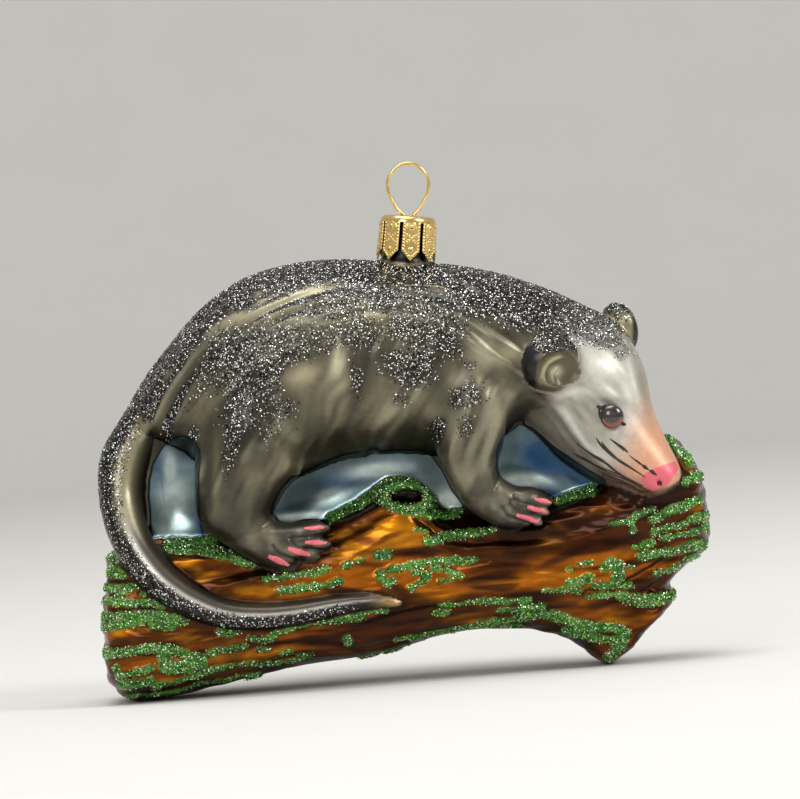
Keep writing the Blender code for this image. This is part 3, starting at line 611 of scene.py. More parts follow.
def bell(places, u, v, reach_u, reach_v, turn=0.0):
    """A soft oval patch at a pixel, from 1 in its middle to 0."""
    angle = math.radians(turn)
    across = (places[:, 0] - u) * math.cos(angle) + (places[:, 1] - v) * math.sin(angle)
    along = (places[:, 1] - v) * math.cos(angle) - (places[:, 0] - u) * math.sin(angle)
    return np.exp(-(across / reach_u) ** 2 - (along / reach_v) ** 2)


def stroke_distance(places, route):
    """How far pixels are from a line through a route's pixels, and the share of the route they are near."""
    best = np.full(len(places), 1e9)
    share = np.zeros(len(places))
    for index, (start, end) in enumerate(zip(route, route[1:])):
        start = np.array(start, float)
        run = np.array(end, float) - start
        along = np.clip(((places - start) @ run) / max(run @ run, 1e-9), 0, 1)
        far = np.linalg.norm(places - start - along[:, None] * run, axis=1)
        nearer = far < best
        best = np.where(nearer, far, best)
        share = np.where(nearer, (index + along) / (len(route) - 1), share)
    return best, share


# Strokes of moss: half width at the start and at the end, then the route, all in pixels
MOSS = [
    (6.5, 6.5, (170, 544), (189, 545), (212, 543)),
    (7, 4, (205, 547), (222, 553), (240, 559), (255, 564)),
    (5.5, 5, (112, 558), (120, 558)),
    (6, 5.5, (112, 573), (124, 572)),
    (5, 4, (109, 588), (122, 590), (138, 586)),
    (3, 3, (142, 593), (149, 593)),
    (5, 3, (108, 600), (130, 603), (150, 603), (166, 606)),
    (10, 5, (108, 622), (125, 620), (150, 616), (184, 621)),
    (4, 4, (152, 626), (172, 627)),
    (5, 4, (107, 653), (125, 652), (150, 649), (170, 649), (190, 656), (204, 657)),
    (7, 6, (163, 658), (166, 668), (185, 667), (203, 664)),
    (3, 2.5, (210, 653), (230, 649), (246, 647)),
    (3.5, 3, (116, 668), (120, 676), (135, 672), (152, 668)),
    (5, 4, (124, 684), (138, 683), (150, 680)),
    (2.5, 2, (153, 686), (189, 678), (215, 669), (249, 663), (285, 662), (304, 658)),
    (2, 1.5, (128, 697), (162, 694), (181, 690), (202, 683), (260, 674)),
    (4, 4, (221, 631), (232, 633), (240, 628), (258, 628)),
    (4, 3.5, (251, 638), (262, 640), (273, 636)),
    (4, 4, (279, 630), (290, 627), (305, 624)),
    (2, 2, (259, 650), (271, 650)),
    (3, 2.5, (281, 653), (291, 651)),
    (3.5, 3.5, (267, 579), (280, 578), (290, 574), (309, 573), (327, 570)),
    (3.5, 1.5, (345, 566), (352, 563), (364, 558)),
    (5, 5, (379, 556), (387, 555)),
    (3.5, 3.5, (280, 591), (290, 590), (305, 587), (320, 586), (334, 583), (340, 580)),
    (5.5, 5.5, (331, 518), (344, 512), (356, 505), (367, 497), (376, 491)),
    (7, 7, (377, 491), (386, 485), (398, 482), (412, 483), (423, 488), (430, 496), (431, 505), (426, 510),
     (415, 510), (403, 507), (391, 502), (381, 496)),
    (4.5, 3.5, (432, 514), (447, 514), (460, 511)),
    (2.5, 2.5, (418, 530), (427, 531)),
    (5, 5.5, (429, 541), (447, 536), (467, 533)),
    (5.5, 2.5, (467, 532), (481, 532), (495, 529)),
    (3.5, 4, (378, 573), (394, 569), (414, 565), (434, 562), (454, 560), (474, 560)),
    (4, 4, (380, 576), (387, 583), (394, 580)),
    (2.5, 2.5, (414, 573), (431, 572)),
    (4.5, 3, (413, 587), (421, 583), (428, 577)),
    (3, 3, (434, 568), (447, 570), (462, 577)),
    (1.5, 1.5, (439, 580), (458, 580)),
    (5, 5, (286, 627), (300, 623), (317, 620), (340, 619), (360, 617)),
    (4, 3, (345, 616), (364, 612), (387, 610)),
    (5, 5, (347, 638), (348, 640)),
    (3, 3.5, (442, 605), (461, 604), (479, 601), (510, 601), (529, 600)),
    (4, 3.5, (436, 614), (447, 613)),
    (2.5, 4, (500, 611), (520, 609), (542, 607)),
    (2, 3.5, (396, 640), (420, 637), (447, 631), (474, 625), (510, 620), (530, 616), (550, 615)),
    (1.5, 2, (360, 656), (387, 653), (407, 648), (427, 643)),
    (2.5, 2, (385, 652), (408, 648)),
    (2, 1.5, (298, 656), (315, 655)),
    (4, 6, (557, 500), (573, 495), (590, 490)),
    (4, 4, (667, 439), (675, 448), (686, 457), (690, 463)),
    (5, 5, (684, 481), (697, 477)),
    (2.5, 4, (611, 524), (622, 522), (631, 523), (634, 530)),
    (3, 3, (630, 519), (637, 515), (652, 510)),
    (4.5, 4.5, (652, 520), (667, 512), (682, 507), (699, 500)),
    (4, 4, (691, 520), (707, 515)),
    (4, 3.5, (655, 532), (667, 527), (685, 524)),
    (3, 3.5, (661, 538), (682, 535), (707, 527)),
    (3, 3, (634, 548), (653, 542)),
    (4, 5.5, (640, 556), (659, 554), (679, 550), (700, 544)),
    (2.5, 2.5, (656, 574), (675, 567), (696, 555)),
    (2.5, 2.5, (579, 565), (591, 562)),
    (2, 2, (569, 569), (572, 571)),
    (5, 7, (606, 566), (612, 562), (621, 568), (616, 576), (618, 582)),
    (2, 2, (628, 567), (634, 568)),
    (5, 4, (570, 583), (579, 583), (590, 577)),
    (2, 2.5, (544, 590), (561, 590), (582, 591)),
    (4, 3, (594, 586), (606, 585), (631, 586)),
    (2.5, 3.5, (588, 596), (606, 595), (621, 595)),
    (5, 7, (618, 595), (637, 600), (652, 601)),
    (6, 3.5, (652, 601), (667, 598), (675, 592)),
    (5, 5, (552, 615), (564, 618), (576, 624), (594, 626), (615, 627), (626, 635), (621, 646), (609, 656)),
    (4, 4, (565, 629), (585, 635), (603, 640), (620, 640)),
    (1.5, 1.5, (500, 624), (523, 626)),
]

# Patches of silver glitter on the fur: middle, reach and turn in pixels and degrees, and how dense it is
GLITTER = [
    (253, 368, 34, 44, 20, 1.0),
    (228, 350, 20, 30, 30, 0.8),
    (288, 348, 28, 22, -20, 0.9),
    (206, 372, 12, 34, 25, 0.45),
    (240, 428, 14, 32, 8, 0.8),
    (262, 430, 14, 26, 25, 0.55),
    (233, 460, 10, 10, 0, 0.75),
    (226, 477, 4, 7, 0, 0.5),
    (276, 408, 22, 26, 20, 0.5),
    (272, 301, 12, 6, -15, 0.5),
    (340, 308, 28, 18, 0, 0.95),
    (352, 330, 30, 20, 0, 0.9),
    (400, 300, 45, 16, 0, 0.95),
    (425, 325, 42, 20, 0, 0.9),
    (320, 340, 26, 16, -20, 0.7),
    (330, 286, 30, 8, 0, 0.6),
    (355, 375, 7, 22, -8, 0.6),
    (410, 368, 26, 20, 5, 0.85),
    (403, 400, 11, 10, 0, 0.5),
    (445, 352, 24, 12, -10, 0.6),
    (464, 364, 12, 6, 0, 0.5),
    (464, 397, 15, 13, 0, 0.7),
    (438, 430, 6, 11, 20, 0.9),
    (466, 426, 8, 13, 10, 0.65),
    (478, 300, 34, 20, 8, 0.95),
    (520, 306, 40, 22, 18, 1.0),
    (560, 318, 36, 20, 20, 1.0),
    (596, 332, 30, 14, 25, 0.9),
    (620, 350, 12, 9, 60, 0.65),
    (553, 343, 22, 11, 0, 1.0),
    (623, 309, 13, 9, 0, 1.0),
]
# Patches that the glitter leaves bare
BARE = [
    (300, 374, 18, 9, -20, 1.0),
    (337, 364, 9, 16, 15, 1.0),
    (336, 398, 6, 24, 15, 0.9),
    (500, 345, 20, 15, 0, 1.0),
    (262, 306, 30, 7, -22, 0.9),
    (310, 294, 26, 5, -6, 0.8),
    (378, 293, 46, 3, 4, 0.8),
    (168, 430, 14, 30, 20, 1.0),
    (594, 364, 18, 12, 20, 1.0),
]

# Tones of lacquer. SMOKE, DEEP and ASH also serve as painted shade, and WHITE and PALE as painted highlight.
FUR = srgb(82, 77, 63)
FUR_LIGHT = srgb(120, 114, 94)
CREAM = srgb(190, 182, 148)
PALE = srgb(208, 202, 172)
OLIVE = srgb(126, 119, 90)
SMOKE = srgb(44, 40, 32)
DEEP = srgb(20, 18, 14)
CHARCOAL = srgb(36, 35, 35)
WHITE = srgb(244, 241, 232)
PEARL = srgb(172, 168, 154)
ASH = srgb(120, 116, 105)
PEACH = srgb(224, 160, 122)

# How metallic and how rough the lacquer is on the fur, and in the zones where it differs
FUR_LUSTRE = (0.74, 0.36)
LUSTRE = {
    "web": (0.9, 0.22),
    "log": (0.92, 0.30),
    "head": (0.36, 0.46),
    "paw": (0.6, 0.38),
    "ear": (0.6, 0.36),
}

# Glitter: flakes for each square millimetre, and their tones with the share of each
SILVER_DENSITY = 8.5
SILVER_TONES = [srgb(246, 246, 244), srgb(186, 182, 174), srgb(92, 84, 76), srgb(24, 22, 20)]
SILVER_SHARES = (0.32, 0.15, 0.15, 0.38)
MOSS_DENSITY = 13.0
MOSS_TONES = [
    srgb(70, 160, 52), srgb(136, 206, 96), srgb(26, 74, 20), srgb(240, 250, 220), srgb(170, 176, 70),
]
MOSS_SHARES = (0.26, 0.24, 0.14, 0.28, 0.08)

# Patches on the fur, partly airbrushed tone and partly painted highlight and painted shade: middle, reach,
# turn, tone and strength
AIRBRUSH_AND_SHADING = [
    (150, 420, 22, 16, -20, OLIVE, 0.6),
    (139, 478, 9, 62, 6, CREAM, 0.9),
    (172, 428, 32, 9, -8, SMOKE, 0.8),
    (203, 400, 10, 34, 10, OLIVE, 0.6),
    (262, 306, 40, 12, -22, CREAM, 0.75),
    (318, 292, 34, 9, -4, CREAM, 0.6),
    (222, 330, 16, 14, 30, CREAM, 0.4),
    (256, 372, 36, 44, 20, SMOKE, 0.75),
    (240, 440, 18, 34, 8, SMOKE, 0.6),
    (208, 490, 8, 50, 0, SMOKE, 0.75),
    (216, 470, 4, 46, 0, OLIVE, 0.5),
    (232, 500, 16, 24, -20, SMOKE, 0.35),
    (256, 528, 14, 13, -30, CREAM, 0.5),
    (268, 498, 9, 26, 28, SMOKE, 0.75),
    (300, 462, 34, 14, -36, CREAM, 0.7),
    (320, 424, 32, 18, -45, CREAM, 0.65),
    (304, 374, 20, 10, -20, CREAM, 0.8),
    (337, 364, 9, 17, 15, PALE, 0.95),
    (341, 398, 7, 30, 16, CREAM, 0.7),
    (352, 320, 40, 18, 0, CREAM, 0.55),
    (356, 384, 5, 24, -6, SMOKE, 0.6),
    (384, 412, 18, 28, 10, CREAM, 0.55),
    (420, 408, 12, 24, 6, CREAM, 0.55),
    (411, 368, 26, 18, 5, SMOKE, 0.85),
    (430, 316, 50, 12, 4, CREAM, 0.35),
    (452, 372, 8, 16, 10, CREAM, 0.45),
    (466, 402, 16, 18, 0, SMOKE, 0.65),
    (440, 440, 6, 26, 12, SMOKE, 0.55),
    (458, 452, 8, 26, 5, CREAM, 0.3),
    (482, 440, 8, 40, 4, SMOKE, 0.5),
    (466, 466, 16, 26, 0, SMOKE, 0.65),
    (236, 520, 20, 20, 0, SMOKE, 0.35),
    (494, 398, 10, 24, 12, CREAM, 0.4),
    (484, 352, 16, 14, 30, PALE, 0.5),
    (510, 352, 18, 10, -20, CREAM, 0.7),
    (513, 404, 30, 14, -12, PALE, 0.5),
    (545, 316, 66, 18, 18, CHARCOAL, 0.85),
    (606, 334, 30, 14, 25, CHARCOAL, 0.75),
]
# The same on the face and the near ear, partly airbrushed tone and partly painted highlight and painted shade
FACE_TONES = [
    (522, 404, 26, 16, -10, ASH, 0.5),
    (548, 400, 20, 6, 25, ASH, 0.65),
    (556, 420, 26, 6, 32, ASH, 0.5),
    # Painted shade in the fold before the ear
    (577, 356, 5, 16, -8, SMOKE, 0.8),
    (566, 394, 16, 4, -14, WHITE, 0.7),
    # A painted highlight on the brow
    (600, 366, 16, 12, 25, WHITE, 0.6),
    (590, 398, 22, 12, 20, WHITE, 0.25),
    (584, 386, 18, 3, 28, ASH, 0.45),
    (578, 404, 20, 3, 34, ASH, 0.4),
    (620, 392, 5, 16, -12, ASH, 0.25),
    (634, 384, 3, 30, -14, WHITE, 0.5),
    (645, 392, 4, 40, -14, ASH, 0.45),
    (572, 446, 30, 8, 34, ASH, 0.35),
    # Painted shade above the eye
    (607, 401, 14, 4, 8, srgb(92, 80, 84), 0.75),
    (630, 428, 6, 14, 10, WHITE, 0.35),
]
# The painted nose, and lines on the face: widths in millimetres and routes in pixels
NOSE = [(641, 477), (650, 470), (663, 465), (676, 461), (679, 468), (669, 484), (652, 492), (644, 487)]
NOSTRIL = (659, 482.5)
NOSTRIL_PIT = (*NOSTRIL, 3.4, 2.6, 20)
NOSTRIL_STAIN = (*NOSTRIL, 4.4, 3.6, 20)
NOSTRIL_BARE = (*NOSTRIL, 3.0, 2.4, 20)
MOUTH = [(652, 493), (636, 490), (618, 483), (603, 476)]
# Hollows and swellings of the face: middle, reach and turn, and how far each rises in millimetres
SWELLS = [
    (611, 417, 22, 18, 0, -0.9),
    (604, 396, 22, 8, 15, 0.6),
    (600, 366, 20, 15, 25, 0.5),
    (*NOSTRIL_PIT, -0.9),
]
# Spans of pixels over which a mark on the head fades, across the photograph or down it
STREAKS_END = (596, 640)
BLUSH = (598, 652)
BLUSH_LEVEL = 455
FACE_START = (470, 560)
EAR_BACK = (536, 545)
EAR_LEVEL = 362
EAR_TOP = (349, 358)
# A painted glint in the near ear's cup
EAR_GLINT = (556, 372, 6, 5)
FAR_EAR_TOP = (308, 318)
FAR_EAR_EDGE = (630, 635)

# The outlines of the panels on the near side, in pixels. They run on under the log.
PANELS = [
    [(151, 560), (150, 530), (149, 497), (150, 480), (154, 464), (163, 448), (174, 439), (183, 437),
     (192, 442), (198, 451), (199, 470), (197, 495), (198, 515), (204, 536), (214, 560)],
    [(349, 454), (361, 452), (381, 453), (399, 451), (418, 450), (430, 456), (440, 469), (446, 479),
     (452, 491), (462, 504), (472, 534), (345, 548), (336, 518), (317, 518), (304, 519), (290, 523),
     (280, 521), (274, 513), (277, 503), (284, 490), (294, 480), (310, 472), (331, 461)],
    [(511, 487), (503, 480), (497, 469), (498, 452), (503, 438), (520, 425), (530, 429), (540, 437),
     (548, 444), (556, 450), (567, 457), (583, 468), (604, 482), (604, 525), (560, 525), (554, 496),
     (544, 491), (534, 488), (522, 487)],
]
# Tones of bark: where the amber is bright, partly as painted sheen, and where it is dark, partly as painted
# shadow under the paws and along the bottom of the log
PALE_AMBER_AND_SHEEN = [
    (385, 538, 52, 17, -8, 1.0), (205, 578, 34, 12, 22, 1.0), (250, 590, 26, 7, 0, 0.8),
    (120, 638, 24, 8, -12, 1.0), (470, 552, 40, 7, -5, 0.9), (545, 536, 34, 8, -15, 0.7),
    (200, 640, 40, 5, 5, 0.7), (240, 656, 34, 5, -8, 0.6), (606, 616, 30, 8, 10, 0.8),
    (560, 580, 40, 7, -5, 0.5), (425, 600, 34, 10, 0, 0.9), (680, 515, 20, 8, -20, 0.4),
    (640, 545, 16, 6, -15, 0.5), (300, 600, 26, 6, 0, 0.6), (512, 512, 20, 6, -20, 0.4),
    (480, 618, 40, 5, -6, 0.5),
]
DARK_BARK_AND_SHADOW = [
    (366, 512, 24, 10, -35, 0.9), (440, 524, 20, 5, 0, 0.8), (489, 577, 32, 5, -12, 1.0),
    (500, 522, 40, 7, 4, 0.9), (241, 579, 12, 3, 8, 0.9), (262, 572, 9, 3, 0, 0.8),
    (205, 622, 26, 7, -6, 0.6), (215, 632, 22, 6, 0, 0.6), (590, 518, 26, 10, -18, 0.7),
    (612, 640, 9, 5, 0, 1.0), (565, 556, 30, 4, -24, 0.9), (650, 500, 30, 10, -10, 0.5),
    (628, 618, 18, 4, 10, 0.7), (471, 546, 9, 3, 5, 0.9), (700, 545, 8, 20, 0, 0.7),
    (330, 640, 60, 5, -3, 0.5), (420, 622, 50, 4, -4, 0.6), (535, 622, 34, 5, 8, 0.5),
]
# Tones of the panels: blue, painted shadow, and pale patches that are partly painted reflection
BLUES = [
    (548, 458, 28, 20, 34, 1.0), (575, 474, 24, 9, 32, 1.0), (203, 512, 7, 34, 0, 1.0),
    (160, 470, 8, 26, 8, 0.45), (345, 478, 44, 10, -8, 0.75), (300, 500, 26, 8, -20, 0.45),
    (190, 452, 14, 12, 0, 0.55), (540, 492, 22, 4, 6, 1.0), (400, 462, 34, 8, 4, 0.5),
]
SHADES = [
    (302, 494, 28, 16, -30, 0.95), (428, 466, 20, 10, 40, 0.8), (508, 452, 9, 24, 10, 0.55),
    (186, 446, 14, 9, 0, 0.6), (345, 466, 30, 6, -10, 0.5),
]
PALES_AND_GLEAMS = [
    (174, 504, 13, 20, 0, 0.5), (300, 516, 22, 3, -4, 0.9), (378, 470, 26, 7, -6, 0.75),
    (524, 480, 20, 6, 0, 0.9), (448, 500, 10, 9, 0, 0.8), (330, 496, 14, 5, -20, 0.5),
    (170, 468, 6, 14, 0, 0.5),
]


def moss_cover(places, points):
    """How thickly moss covers each point of the log, from 0 to 1."""
    ragged = cloud(points, 1.6, 31) - 0.5
    cover = np.zeros(len(places))
    for start, end, *route in MOSS:
        away, share = stroke_distance(places, route)
        half = start + (end - start) * share
        cover = np.maximum(cover, smooth(-1.2, 1.6, half - away + 5.0 * ragged))
    return cover


def patches(places, table):
    """The strongest of a table of soft patches at each point."""
    total = np.zeros(len(places))
    for *spot, strength in table:
        total = np.maximum(total, strength * np.minimum(1.6 * bell(places, *spot), 1.0))
    return total


def outward(points):
    """Directions in the XZ plane away from the line along the middle of the body."""
    flat = np.stack([points[:, 0] - np.clip(points[:, 0], *BODY_REACH), points[:, 2] - BODY_HEIGHT], axis=1)
    return unit(flat)


def across_tail(points):
    """How far points lie across the tail, from -1 at its inner edge to 1 at its outer edge."""
    path = resampled([row[:3] for row in TAIL], 4)
    along = unit(np.gradient(path[:, :2], axis=0))
    inner = np.stack([-along[:, 1], along[:, 0]], axis=1)
    flat = points[:, [0, 2]]
    nearest = np.argmin(((flat[:, None] - path[None, :, :2]) ** 2).sum(axis=2), axis=1)
    offset = ((flat - path[nearest, :2]) * inner[nearest]).sum(axis=1)
    return np.clip(-offset / path[nearest, 2], -1, 1)


def polygon_depth(places, corners):
    """How far pixels lie inside a polygon, and outside it as a negative number."""
    away, _ = stroke_distance(places, [*corners, corners[0]])
    inside = np.zeros(len(places), bool)
    for (start_u, start_v), (end_u, end_v) in zip(corners, [*corners[1:], corners[0]]):
        crosses = (start_v > places[:, 1]) != (end_v > places[:, 1])
        slope = (end_u - start_u) / ((end_v - start_v) or 1e-9)
        inside ^= crosses & (places[:, 0] < start_u + slope * (places[:, 1] - start_v))
    return np.where(inside, away, -away)


class Skin:
    """The fused glass: its points and faces, and what its modelling and paint need at each point."""

    FLESH = ("trunk", "leg", "tail", "ear", "head", "paw")

    def __init__(self):
        forms = all_forms()
        every = [form for group in forms.values() for form in group]
        self.points, self.faces, self.edges = fused(every)
        self.points = relaxed(self.points, self.edges, 4, 0.5)
        self.near = {zone: distances(joined(group), self.points) for zone, group in forms.items()}
        table = np.stack(list(self.near.values()), axis=1)
        self.zone = np.array(list(self.near))[table.argmin(axis=1)]
        self.crease = np.sort(table, axis=1)[:, 1]
        self.soft_crease = np.sort([self.near[zone] for zone in self.FLESH], axis=0)[1]
        self.settle()

    def settle(self):
        """Works out what follows from where the points are."""
        corners = self.points[self.faces]
        flat = np.cross(corners[:, 2] - corners[:, 0], corners[:, 3] - corners[:, 1])
        total = np.zeros_like(self.points)
        for axis in range(3):
            for corner in range(4):
                total[:, axis] += np.bincount(self.faces[:, corner], flat[:, axis], len(self.points))
        self.normals = unit(total)
        self.side = np.abs(self.normals[:, 1])
        self.places = photo_places(self.points)

    def own(self, *zones):
        return np.isin(self.zone, zones)

    def apart(self, *zones):
        """How far each point is from the nearest of these zones."""
        return np.min([self.near[zone] for zone in zones], axis=0)

    def move(self, rise):
        """Moves the points along their normals."""
        self.points = self.points + self.normals * rise[:, None]
        self.settle()


def spread_within(values, edges, wanted, passes):
    """Evens out a number over one part of the skin."""
    index = np.cumsum(wanted) - 1
    inner = wanted[edges].all(axis=1)
    found = values.copy()
    found[wanted] = spread(values[wanted], index[edges[inner]], passes)
    return found


def ear_cup(skin, ear):
    """Presses an ear's cup into the skin. Its folds curl round the side that faces the nose."""
    _, _, facing, middle, radii = ear
    axes = turned(facing)
    up, aside, out = ((skin.points - middle) @ axes).T
    ring = np.hypot(up / radii[0], aside / radii[1])
    curl = np.hypot((up + 0.9) / radii[0], (aside + 1.1) / radii[1])
    fold = np.exp(-((curl - 0.85) / 0.13) ** 2) * smooth(-2.6, 0.6, aside)
    fold += 0.7 * np.exp(-((curl - 0.42) / 0.11) ** 2) * smooth(-1.8, 1.0, aside + 0.5 * up)
    depth = -0.85 * radii[2] * np.sqrt(np.clip(1 - ring ** 2, 0, 1)) + 1.0 * fold
    pressed = (ring < 1) & (out > depth) & (out < radii[2] * 1.6) & skin.own("ear", "head")
    skin.points = skin.points + np.where(pressed, depth - out, 0.0)[:, None] * axes[:, 2]
    skin.fold = np.where(pressed, fold, skin.fold)
    return pressed


def fur_relief(skin):
    """Long strands along the back, and soft hanging folds on the flanks and legs."""
    points, side = skin.points, skin.side
    along = points[:, 0] - STRAND_MIDDLE[0]
    above = points[:, 2] - STRAND_MIDDLE[1]
    radius = np.hypot(along, above)
    turn = np.arctan2(above, along) * STRAND_RADIUS
    bent = np.stack([turn, points[:, 1], radius + 3.0 * (noise(points, 11.0, 3) - 0.5)], axis=1)
    back = smooth(*BACK_START, radius) * smooth(0.1, 0.4, side) * (1 - smooth(*BACK_END, points[:, 0]))
    strands = (cloud(bent, (24, 9, 2.3), 5, 2) - 0.5) * 1.5
    slant = np.stack([
        points[:, 0] * 0.9 - points[:, 2] * 0.43, points[:, 1], points[:, 0] * 0.43 + points[:, 2] * 0.9,
    ], axis=1)
    slant[:, 0] += 4.0 * (noise(points, 8.0, 7) - 0.5)
    folds = (cloud(slant, (3.6, 9, 16), 9, 2) - 0.5) * 1.7
    flank = (1 - back) * smooth(0.1, 0.5, side)
    relief = strands * back + folds * flank
    fine = (noise(slant, (1.1, 4, 8), 15) - 0.5) * 0.25 * flank
    fine += (noise(bent, (12, 5, 0.9), 16) - 0.5) * 0.25 * back
    return np.where(skin.own("trunk", "leg"), relief + fine, 0.0)


def grain_of(points, reach, seed):
    """Points drawn about so that noise over them runs along the log in curling streaks."""
    bent = points.copy()
    bent[:, 0] += reach * (noise(points, (12, 10, 7), seed) - 0.5)
    bent[:, 2] += reach * 0.7 * (noise(points, (15, 12, 9), seed + 1) - 0.5)
    return bent


def bark_relief(skin):
    """Soft ripples between the log's own grooves."""
    ripples = cloud(grain_of(skin.points, 6.0, 11), (16, 6, 2.6), 13, 3) - 0.5
    clear = smooth(0.2, 1.8, skin.apart("trunk", "leg", "tail", "head", "paw", "web"))
    return np.where(skin.own("log"), 1.5 * ripples * clear - 0.12, 0.0)


def face_relief(skin):
    """Brow, eye socket, mouth, nostril and the soft streaks of the cheek."""
    points, places = skin.points, skin.places
    facing = smooth(0.2, 0.6, skin.side)
    muzzle = np.stack([
        points[:, 0] * 0.55 - points[:, 2] * 0.83, points[:, 1], points[:, 0] * 0.83 + points[:, 2] * 0.55,
    ], axis=1)
    muzzle[:, 2] += 1.6 * (noise(points, 7.0, 21) - 0.5)
    streaks = (cloud(muzzle, (11, 5, 2.6), 23, 2) - 0.5) * 1.1 * smooth(1, 5, skin.near["ear"])
    streaks *= 1 - 0.85 * smooth(*STREAKS_END, places[:, 0])
    relief = streaks
    for *spot, rise in SWELLS:
        relief = relief + rise * bell(places, *spot) * facing
    relief += NOSE_RISE * smooth(-1.0, 1.0, skin.nose)
    mouth, _ = stroke_distance(places, MOUTH)
    relief -= MOUTH_DEPTH * np.exp(-(mouth / 1.6) ** 2) * facing
    skin.streaks = np.where(skin.own("head"), streaks, 0.0)
    return np.where(skin.own("head"), relief, 0.0)


def panel_relief(skin):
    """The panels are dished in smoothly from the shapes around them."""
    others = skin.apart("trunk", "leg", "tail", "head", "paw", "log")
    dish = -PANEL_DISH * (1 - np.exp(-(others / DISH_REACH) ** 2)) * smooth(0.3, 0.8, skin.side)
    dish *= np.where(skin.near_side, smooth(-0.6, 1.6, skin.panel), 1.0)
    web = skin.own("web")
    return np.where(web, spread_within(dish, skin.edges, web, 140), 0.0)


def toe_gaps(skin):
    """How close the points of the paws lie to the gap between two toes, from 0 to 1."""
    gaps = np.zeros(len(skin.points))
    for toes, far_stride in ((HIND_TOES, FAR_HIND_STRIDE), (FORE_TOES, FAR_FORE_STRIDE)):
        for side, stride in ((-1, 0.0), (1, far_stride)):
            flat = skin.points[:, [0, 2]] - (stride, 0)
            away = np.sort([stroke_distance(flat, toe_axis)[0] for toe_axis in toes], axis=0)
            here = skin.own("paw") & (side * skin.points[:, 1] > 0) & (away[0] < TOE_REACH)
            gaps = np.where(here, np.exp(-((away[1] - away[0]) / TOE_GAP_WIDTH) ** 2), gaps)
    return gaps


def knot_middles(skin):
    """Where the middle of each knot's ring lies on the glass, near side first."""
    tree = BVHTree.FromPolygons(skin.points.tolist(), skin.faces.tolist())
    found = []
    for side in (-1, 1):
        start = Vector((KNOT_MIDDLE[0], side * 2 * HALF_BODY, KNOT_MIDDLE[1]))
        place, _, _, _ = tree.ray_cast(start, Vector((0, -side, 0)))
        found.append(np.array(place))
    return found


def knot_hole(skin):
    """How deep in a knot's hole each point lies, from 0 at its edge to 1."""
    hole = np.zeros(len(skin.points))
    for place in skin.knots:
        away = (skin.points - place - KNOT_HOLE_SHIFT) / (KNOT_HOLE[0], KNOT_HOLE_REACH, KNOT_HOLE[1])
        ring = np.hypot(away[:, 0], away[:, 2])
        hole = np.maximum(hole, (1 - smooth(0.75, 1.1, ring)) * (np.abs(away[:, 1]) < 1))
    return hole * skin.own("log", "web")


def model(skin):
    """Models the fused glass: cups, folds, hair, bark, the dished panels and the hollow of the knot."""
    skin.points = relaxed(skin.points, skin.edges, 10, 0.45 * (1 - smooth(0.5, 1.6, skin.crease)))
    flesh = skin.own("trunk", "leg", "head", "tail") * (skin.near["web"] > 1.2) * (skin.near["log"] > 1.2)
    skin.points = relaxed(skin.points, skin.edges, 60, 0.5 * flesh * (1 - smooth(1.2, 4.0, skin.soft_crease)))
    skin.settle()
    skin.nose = polygon_depth(skin.places, NOSE) * MM_PER_PIXEL
    skin.near_side = skin.points[:, 1] < 0
    skin.panel = np.max([polygon_depth(skin.places, corners) for corners in PANELS], axis=0) * MM_PER_PIXEL
    skin.hair = fur_relief(skin)
    skin.groove = bark_relief(skin)
    skin.toes = toe_gaps(skin)
    skin.knots = knot_middles(skin)
    skin.hole = knot_hole(skin)
    skin.moss = np.where(skin.own("log", "web"), moss_cover(skin.places, skin.points), 0.0)
    skin.moss *= smooth(0.3, 0.9, skin.apart("trunk", "leg", "tail", "head", "paw"))
    skin.moss *= np.where(skin.own("web"), 1 - smooth(0.6, 1.6, skin.near["log"]), 1.0) * (1 - skin.hole)
    rise = skin.hair + skin.groove + face_relief(skin) + panel_relief(skin)
    rise += MOSS_RISE * skin.moss - KNOT_DEPTH * skin.hole - TOE_GAP_DEPTH * skin.toes
    skin.move(rise - INSET)
    skin.fold = np.zeros(len(skin.points))
    skin.cups = ear_cup(skin, NEAR_EAR) | ear_cup(skin, FAR_EAR)
    skin.points = relaxed(skin.points, skin.edges, 2, np.where(skin.cups, 0.4, 0.12))
    low, high = np.array(CAD_LOW) / MM, np.array(CAD_HIGH) / MM
    skin.points = np.clip(skin.points, low + BOX_MARGIN, high - BOX_MARGIN)
    skin.settle()
    out = outward(skin.points)
    skin.rim = skin.normals[:, 0] * out[:, 0] + skin.normals[:, 2] * out[:, 1]
    tail = skin.own("tail")
    skin.across = np.zeros(len(skin.points))
    skin.across[tail] = across_tail(skin.points[tail])


